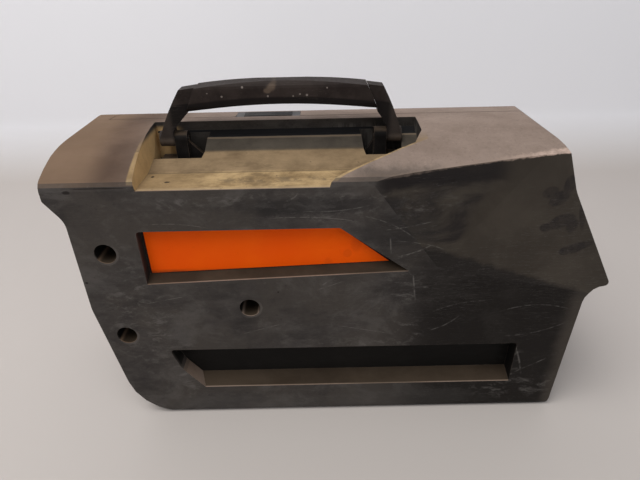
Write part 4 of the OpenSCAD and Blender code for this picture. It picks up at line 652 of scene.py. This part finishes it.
def bracket_material():
    """Black plastic with brown dust on what faces up, and paler edges that are a painted highlight along the
    ribs.
    """
    m = Maker("bracket_plastic")
    nz = m.normal("Z")
    tone = m.mix(m.spread(60, 5, 0.66, 0.3, 0.7), (0.006, 0.0052, 0.005), (0.015, 0.0128, 0.0118))
    dust = m.times(m.steps(nz, 0.45, 0.85), m.spread(70, 5, 0.7, 0.3, 0.6, 0.45, 1.0))
    tone = m.wash(tone, dust, 0.75, (0.11, 0.078, 0.054))
    wear = m.times(m.edges(0.0011), m.spread(150, 4, 0.7, 0.36, 0.6, 0.2, 1.0))
    # painted highlight: thin paler lines along the edges
    tone = m.wash(tone, wear, 0.6, (0.15, 0.112, 0.086))
    relief = m.bump(m.noise(1100, 2, 0.5), 0.12, 0.0004)
    return m.done(tone, m.steps(m.noise(90, 3), 0.3, 0.7, 0.55, 0.7), 0.0, relief, 0.06)


def metal(name, colour, rough, along, grime=0.25, turned=False):
    """Bare metal with drawn or turned marks, tarnish and grime in patches."""
    m = Maker(name)
    fast, slow = 620.0, 9.0
    scale = {"X": (slow / fast, 1, 1), "Y": (1, slow / fast, 1), "Z": (1, 1, slow / fast)}[along]
    if turned:
        scale = tuple(1.0 if s < 1 else 0.25 for s in scale)
    drawn = m.noise(fast, 2.0, 0.5, m.stretch(scale))
    cloud = m.noise(32, 5, 0.62, warp=0.4)
    light = tuple(min(1.0, c * 1.12) for c in colour)
    dull = tuple(c * 0.68 for c in colour)
    tone = m.mix(m.steps(cloud, 0.32, 0.7), dull, light)
    tone = m.wash(tone, m.steps(drawn, 0.42, 0.6), 0.22, tuple(c * 0.6 for c in colour))
    dirt = m.steps(m.noise(21, 6, 0.66, m.stretch((1, 1, 1), move=(2, 4, 1))), 0.54, 0.72)
    tone = m.mix(m.times(dirt, grime), tone, (0.055, 0.043, 0.034))
    tone = m.wash(tone, m.edges(0.0006), 0.35, light)
    gloss = m.plus(m.steps(drawn, 0.3, 0.7, rough - 0.07, rough + 0.09), m.times(dirt, 0.2), True)
    return m.done(tone, gloss, 1.0, m.bump(drawn, 0.09, 0.0003))


def cast_metal(name, colour, rough):
    """A cast finish: fine pits, blotches and brighter edges."""
    m = Maker(name)
    pits = m.node("TexVoronoi", {"Vector": m.place, "Scale": 620.0})
    cloud = m.noise(26, 5, 0.62)
    dull, light = tuple(c * 0.72 for c in colour), tuple(min(1, c * 1.1) for c in colour)
    tone = m.mix(m.steps(cloud, 0.3, 0.7), dull, light)
    tone = m.wash(tone, m.spread(90, 4, 0.7, 0.56, 0.7), 0.3, tuple(c * 0.35 for c in colour))
    tone = m.wash(tone, m.edges(0.0007), 0.4, tuple(min(1, c * 1.35) for c in colour))
    relief = m.bump(m.steps(pits.outputs["Distance"], 0.0, 0.35), 0.16, 0.0004)
    return m.done(tone, m.steps(cloud, 0.3, 0.7, rough - 0.08, rough + 0.1), 1.0, relief)


def board_material():
    """A green board with tracks and solder dots."""
    m = Maker("circuit_board")
    tracks = m.node("TexBrick", {
        "Vector": m.stretch((1, 1, 1), (90, 0, 90)), "Scale": 150.0, "Mortar Size": 0.03,
        "Color1": (0.012, 0.085, 0.034), "Color2": (0.014, 0.1, 0.04), "Mortar": (0.03, 0.19, 0.08)})
    pads = m.node("TexVoronoi", {"Vector": m.place, "Scale": 260.0})
    dots = m.steps(pads.outputs["Distance"], 0.16, 0.12)
    tone = m.wash(tracks.outputs["Color"], dots, 0.8, (0.55, 0.53, 0.46))
    tone = m.wash(tone, m.steps(m.noise(30, 5), 0.5, 0.75), 0.3, (0.1, 0.09, 0.07))
    return m.done(tone, m.steps(m.noise(50, 3), 0.3, 0.7, 0.28, 0.42), 0.0, m.bump(dots, 0.15, 0.0003))


def lens_material():
    """The red windows of the displays, lightly scratched."""
    m = Maker("red_lens")
    tone = m.mix(m.steps(m.noise(60, 3), 0.35, 0.65), (0.085, 0.006, 0.005), (0.125, 0.01, 0.008))
    tone = m.wash(tone, scratches(m, 2, 60.0, 9), 0.3, (0.35, 0.12, 0.11))
    m.shader.inputs["Coat Weight"].default_value = 0.6
    m.shader.inputs["Coat Roughness"].default_value = 0.06
    relief = m.bump(m.noise(300), 0.02, 0.0002)
    return m.done(tone, m.steps(m.noise(80, 3), 0.3, 0.7, 0.1, 0.22), 0.0, relief, 0.5)


def make_materials():
    """Each finish with the CAD nodes that wear it."""
    return {
        shell_material("shell_plastic"): ["side_shell", "end_frame"],
        shell_material("shell_plastic_far", near=False): ["side_door", "rim_strip"],
        handle_material(): ["handle_bail", "handle_grip"],
        bracket_material(): ["handle_brackets"],
        board_material(): ["control_board"],
        lens_material(): ["display_windows"],
        label_material(): ["label_plate"],
        plain("black_plastic", (0.026, 0.024, 0.024), 0.46, 0.0, 0.35):
            ["door_catch", "pressure_arm_rear", "pressure_arm_front", "spool_hub", "connector_bush"],
        plain("socket_black", (0.02, 0.02, 0.021), 0.4, 0.0, 0.3, 1200.0):
            ["current_connector", "connector_plate", "rear_plate", "knob_speed", "knob_voltage"],
        plain("panel_black", (0.03, 0.031, 0.034), 0.36, 0.0, 0.2, 2000.0, 0.1): ["control_panel"],
        plain("grey_plastic", (0.26, 0.26, 0.25), 0.42, 0.0, 0.15):
            ["button_left", "button_middle", "button_right"],
        plain("cream_nylon", (0.62, 0.6, 0.5), 0.4, 0.0, 0.12, 1100.0):
            ["drive_gear_rear", "drive_gear_front", "wire_guides"],
        plain("red_plastic", (0.55, 0.03, 0.022), 0.38, 0.0, 0.2, 1200.0):
            ["roll_cap_rear", "roll_cap_front", "tension_knob", "hub_lock_knob",
             "claw_upper", "claw_lower"],
        plain("motor_paint", (0.045, 0.046, 0.05), 0.35, 0.3, 0.25, 1600.0): ["feed_motor"],
        plain("hose_rubber", (0.13, 0.016, 0.013), 0.5, 0.0, 0.3, 700.0, 0.12, 0.3): ["gas_hose"],
        metal("zinc_steel", (0.6, 0.6, 0.58), 0.32, "X"):
            ["hinge_pin", "case_screws", "catch_spring", "brake_spring", "axle_nut", "arm_pins",
             "tension_lever", "encoders"],
        metal("ground_steel", (0.62, 0.61, 0.6), 0.26, "Y", 0.12, True):
            ["handle_pins", "roll_axles", "motor_pinion", "feed_roll_rear", "feed_roll_front",
             "pressure_roll_rear", "pressure_roll_front", "hub_axle"],
        metal("plate_steel", (0.5, 0.51, 0.52), 0.4, "Z", 0.22): ["chassis_plate"],
        metal("brass", (0.72, 0.5, 0.2), 0.3, "X", 0.28, True): ["gun_connector", "gas_inlet", "gas_valve"],
        metal("copper_bar", (0.72, 0.36, 0.2), 0.36, "X", 0.35): ["current_bar"],
        cast_metal("cast_aluminium", (0.58, 0.58, 0.58), 0.46):
            ["feed_plate", "gearbox", "remote_socket", "control_socket"],
    }


# Width of the rounding of the edges, of large parts and of all others
EDGE = {"side_shell": 0.0009, "end_frame": 0.0007, "side_door": 0.0009, "handle_bail": 0.001,
        "handle_grip": 0.0008}
SMALL_EDGE = 0.00035


def dress(materials):
    """Gives every CAD node its finish and the small rounding of its edges."""
    for finish, names in materials.items():
        for name in names:
            for slot in NODES[name].material_slots:
                slot.material = finish
            soft = NODES[name].modifiers.new("edge", "BEVEL")
            soft.width = EDGE.get(name, SMALL_EDGE)
            soft.segments = 2
            soft.limit_method = "ANGLE"
            soft.angle_limit = math.radians(40)


# ---- Small fastenings, marks and fittings ----------------------------------------

# All in millimetres
SLOPE_MID = Vector((232.3, 0, 207.55))  # middle of the control slope
SLOPE_A = math.atan2(44.6, 86.9)  # its lean from upright
KNOB_ACROSS, KNOB_UP = 38, -8  # of a knob's axis from that middle
WINDOW_ACROSS, WINDOW_UP, WINDOW_HALF = 32, 22, (21, 7.5)
FRONT_IN, REAR_Z = 228.8, 190.0  # X of the connector plate's face, and Z of the rear connectors
GUN = (40.0, 85.0)  # Y and Z of the wire line at the gun
# In metres
SEAM_GAP = 0.0002  # between the grip and each arm
SEAM_CORE = 0.0075  # what lies nearer than this to the middle of the seam is the rim of the core's hole
SORT_BY = Vector((100, 10, 1))


def on_slope(x, y, v):
    """A point of the control slope in millimetres: out of the panel, across it and up it."""
    return SLOPE_MID + Vector((x * math.cos(SLOPE_A) - v * math.sin(SLOPE_A), y,
                               x * math.sin(SLOPE_A) + v * math.cos(SLOPE_A)))


def turned_to(axis):
    """Turns Z to the axis."""
    return Vector(axis).to_track_quat("Z", "Y").to_matrix().to_4x4()


def placed(place, axis):
    """A frame in millimetres at a place, with Z along the axis."""
    return Matrix.Translation(Vector(place) * MM) @ turned_to(axis) @ Matrix.Scale(MM, 4)


def publish(name, bm, finish, body="housing"):
    """Makes a piece with the finish of that name in its one slot, and hangs it on the body."""
    mesh = bpy.data.meshes.new(name)
    bmesh.ops.recalc_face_normals(bm, faces=bm.faces)
    bm.to_mesh(mesh)
    bm.free()
    for face in mesh.polygons:
        face.use_smooth = True
    mesh.set_sharp_from_angle(angle=math.radians(35))
    piece = bpy.data.objects.new(name, mesh)
    bpy.context.scene.collection.objects.link(piece)
    mesh.materials.append(bpy.data.materials[finish])
    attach(piece, body)
    return piece


def loops(bm, rows, close_ends=True):
    """Joins rows of equally many points into a skin."""
    made = [[bm.verts.new(p) for p in row] for row in rows]
    count = len(made[0])
    for a, b in zip(made, made[1:]):
        for i in range(count):
            bm.faces.new((a[i], a[(i + 1) % count], b[(i + 1) % count], b[i]))
    if close_ends:
        bm.faces.new(made[0])
        bm.faces.new(made[-1])


def ring_row(matrix, r, h, sides=24, corners=0, turn=0.0):
    """One row round an axis, at height h; with corners, the row is that polygon."""
    row = []
    for i in range(sides):
        a = 2 * math.pi * i / sides + turn
        k = r
        if corners:
            part = math.pi / corners
            k = r * math.cos(part) / math.cos((a - turn) % (2 * part) - part)
        row.append(matrix @ Vector((k * math.cos(a), k * math.sin(a), h)))
    return row


def screw_head(bm, place, axis, r, h):
    """A domed head with a washer face and a recessed hexagon, place and sizes in millimetres."""
    m = placed(place, axis)
    turn = (place[0] * 0.37 + place[2] * 0.11) % 1.0
    rows = [ring_row(m, r * 1.22, 0.0), ring_row(m, r * 1.22, 0.3), ring_row(m, r, 0.4)]
    rows += [ring_row(m, r * math.cos(t), 0.4 + (h - 0.4) * math.sin(t)) for t in (0.35, 0.7, 1.0)]
    rows += [ring_row(m, r * k, rise, corners=6, turn=turn)
             for k, rise in ((0.5, h), (0.46, h - 0.15), (0.44, h * 0.45))]
    loops(bm, rows)


def screws(name, places, axis, r, h):
    bm = bmesh.new()
    for place in places:
        screw_head(bm, place, axis, r, h)
    publish(name, bm, "zinc_steel")


def tube(bm, points, r, sides=12):
    """A round tube along points in millimetres, with a steady frame from end to end."""
    path = [Vector(p) * MM for p in points]
    ahead = (path[1] - path[0]).normalized()
    side = ahead.orthogonal().normalized()
    rows = []
    for i, p in enumerate(path):
        step = (path[min(i + 1, len(path) - 1)] - path[max(i - 1, 0)]).normalized()
        side = (side - step * side.dot(step)).normalized()
        other = step.cross(side)
        rows.append([p + (side * math.cos(a) + other * math.sin(a)) * r * MM
                     for a in [2 * math.pi * k / sides for k in range(sides)]])
    loops(bm, rows)


def smooth_path(points):
    """A curve through all the points, in eight steps from each to the next."""
    steps = 8
    p = [Vector(q) for q in points]
    p = [p[0] * 2 - p[1]] + p + [p[-1] * 2 - p[-2]]
    out = []
    for i in range(1, len(p) - 2):
        for k in range(steps):
            t = k / steps
            out.append(0.5 * ((2 * p[i]) + (p[i + 1] - p[i - 1]) * t
                              + (2 * p[i - 1] - 5 * p[i] + 4 * p[i + 1] - p[i + 2]) * t * t
                              + (3 * p[i] - p[i - 1] - 3 * p[i + 1] + p[i + 2]) * t * t * t))
    return out + [p[-2]]


def coil(bm, start, end, r, wire, turns):
    """A coil spring with closed ends, in millimetres; r is that of the wire's middle line."""
    a, b = Vector(start), Vector(end)
    m = turned_to(b - a)
    length = (b - a).length
    points = []
    count = turns * 14
    for i in range(count + 1):
        t = i / count
        angle = 2 * math.pi * turns * t
        rise = length * min(1.0, max(0.0, (t * turns - 0.5) / (turns - 1.0)))
        points.append(a + m.to_3x3() @ Vector((r * math.cos(angle), r * math.sin(angle),
                                              wire + rise * (1 - 2 * wire / length))))
    tube(bm, points, wire, 8)


def knob_scale(name, side):
    """Raised ticks round a knob of the control panel."""
    bm = bmesh.new()
    for i in range(11):
        a = math.radians(240 - 30 * i)
        long = i % 5 == 0
        inner, outer, half = 13.6, 16.4 if long else 15.4, 0.42 if long else 0.28
        along = Vector((math.cos(a), math.sin(a)))
        over = Vector((-along.y, along.x))
        low, high = [], []
        for q, w in ((inner, -half), (outer, -half * 1.3), (outer, half * 1.3), (inner, half)):
            f = along * q + over * w
            low.append(on_slope(0.0, side * KNOB_ACROSS + f.x, KNOB_UP + f.y) * MM)
            high.append(on_slope(0.16, side * KNOB_ACROSS + f.x, KNOB_UP + f.y) * MM)
        loops(bm, [low, high])
    publish(name, bm, "grey_plastic")


def window_frame(name):
    """Raised rims round the two display windows."""
    bm = bmesh.new()
    wide, high = WINDOW_HALF
    for side in (-1, 1):
        rows = []
        for r, rise in ((1.1, 0.0), (1.1, 0.5), (1.9, 0.7), (2.7, 0.5), (2.9, 0.0)):
            row = []
            for first, cy, cv in ((0, 1, 1), (90, -1, 1), (180, -1, -1), (270, 1, -1)):
                for a in [math.radians(first + 30 * k) for k in range(4)]:
                    row.append(on_slope(rise, side * WINDOW_ACROSS + cy * wide + r * math.cos(a),
                                        WINDOW_UP + cv * high + r * math.sin(a)) * MM)
            rows.append(row)
        loops(bm, rows, close_ends=False)
    publish(name, bm, "black_plastic")


def pins(name, centre, axis, places, r, length):
    """Contact pins with rounded tips, standing on a socket's floor."""
    bm = bmesh.new()
    dome = r * 0.7
    for u, v in places:
        m = placed(centre, axis) @ Matrix.Translation((u, v, 0))
        rows = [ring_row(m, r, 0.0, 14), ring_row(m, r, length - dome, 14)]
        rows += [ring_row(m, r * math.cos(t), length - dome + dome * math.sin(t), 14)
                 for t in (0.5, 1.0, 1.4)]
        loops(bm, rows)
    publish(name, bm, "brass")


def ribs(bm, centre, axis, r, proud, start, end, pitch):
    """A round thread of fine ribs on a collar."""
    m = placed(centre, axis)
    rows, h = [ring_row(m, r, start, 48)], start
    while h < end - pitch * 0.9:
        rows += [ring_row(m, r + out, h + pitch * part, 48)
                 for out, part in ((0, 0.15), (proud, 0.45), (proud, 0.6), (0, 0.9))]
        h += pitch
    rows.append(ring_row(m, r, end, 48))
    loops(bm, rows, close_ends=False)


def star(count, r, first=0):
    """Places evenly round a circle."""
    turns = [math.radians(360 / count * k + first) for k in range(count)]
    return [(r * math.cos(a), r * math.sin(a)) for a in turns]


def make_pieces():
    """Everything small that the CAD leaves out, inside and on the ends."""
    front, rear = (1, 0, 0), (-1, 0, 0)
    slope = on_slope(1, 0, 0) - on_slope(0, 0, 0)
    on_chassis = ((-205, 150), (-100, 20), (60, 16), (160, 16), (150, 262), (-20, 262))
    screws("panel_screws", [on_slope(0, y, v) for y in (-59, 59) for v in (-34, 34)], slope, 2.6, 1.5)
    screws("connector_screws", [(FRONT_IN + 1, y, z) for y in (-64, 5) for z in (40, 108)], front, 2.6, 1.5)
    screws("rear_plate_screws", [(-240, y, z) for y in (-69, 69) for z in (163, 217)], rear, 2.8, 1.5)
    screws("feed_plate_screws", [(x, 18, z) for x in (47, 183) for z in (42, 102)], (0, 1, 0), 3.4, 2.2)
    screws("chassis_screws", [(x, 8, z) for x, z in on_chassis], (0, 1, 0), 3.6, 2.2)
    knob_scale("scale_speed", -1)
    knob_scale("scale_voltage", 1)
    window_frame("window_rims")
    pins("control_pins", (-239, -8, REAR_Z), rear, star(8, 6.2) + [(0, 0)], 0.9, 6.0)
    pins("remote_pins", (FRONT_IN + 3, -35, 85), front, star(6, 5.4, 30), 1.0, 6.0)
    pins("current_pin", (-229, -48, REAR_Z), rear, [(0, 0)], 5.0, 18.0)
    bm = bmesh.new()
    ribs(bm, (FRONT_IN, *GUN), front, 14.9, 0.9, 9.0, 15.0, 1.5)
    publish("gun_thread", bm, "brass")
    seam_pads("seam_pads")
    bm = bmesh.new()
    for x in (-84.5, -54.5):
        coil(bm, (x, 39.4, 286.5), (x, 46.4, 286.5), 1.85, 0.32, 6)
    spring = publish("catch_coils", bm, "zinc_steel", "door")
    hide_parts("catch_spring")
    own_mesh(spring)


def seam_pads(name):
    """A thin pad in the slanted seam at each end of the grip, a little smaller than the grip's end face."""
    grip = NODES["handle_grip"].data
    bm = bmesh.new()
    for side in (-1, 1):
        ends = [f for f in grip.polygons if 0.8 < side * f.normal.x < 0.97 and f.normal.z > 0.3]
        points = {v: grip.vertices[v].co for f in ends for v in f.vertices}
        centre = sum(points.values(), Vector()) / len(points)
        proud = ends[0].normal * SEAM_GAP * 0.25
        made = {}
        for v, place in points.items():
            reach = place - centre
            outside = reach.length > SEAM_CORE
            made[v] = bm.verts.new(centre + reach * (0.91 if outside else 1.03) + proud)
        sheet = [bm.faces.new([made[v] for v in f.vertices]) for f in ends]
        bmesh.ops.solidify(bm, geom=sheet, thickness=-SEAM_GAP * 0.5)
    # solidify leaves them in another order each run
    bm.verts.sort(key=lambda v: v.co.dot(SORT_BY))
    bm.faces.sort(key=lambda f: f.calc_center_median().dot(SORT_BY))
    publish(name, bm, "black_plastic", "handle")


def make_wiring():
    """Leads inside the case, each held at both ends: coat, radius and way, in millimetres."""
    leads = {
        "lead_motor": ("black_plastic", 2.2, [
            (115, -43, 61), (112, -58, 78), (122, -66, 120), (160, -52, 160), (196, -30, 190),
            (209, -18, 201)]),
        "lead_remote": ("grey_plastic", 2.0, [
            (212, -35, 85), (202, -40, 96), (196, -44, 130), (200, -34, 168), (211, -26, 188)]),
        "lead_rear": ("black_plastic", 3.0, [
            (-228, -14, 184), (-214, -22, 196), (-150, -26, 226), (-40, -26, 238), (80, -26, 238),
            (160, -24, 228), (205, -18, 212)]),
    }
    for name, (coat, r, route) in leads.items():
        bm = bmesh.new()
        tube(bm, smooth_path(route), r)
        publish(name, bm, coat)


# ---- Making the scene ---------------------------------------------------------------

make_camera()
make_stage()
make_world()
make_light("key", (-0.7, -0.7, 2.0), (0, 0, 0.1), (1.5, 1.5), 34, (1.0, 0.985, 0.965))
make_light("fill", (1.4, -1.6, 1.1), (0, 0, 0.12), (1.6, 1.2), 6, (0.97, 0.98, 1.0))

dress(make_materials())
make_pieces()
make_wiring()
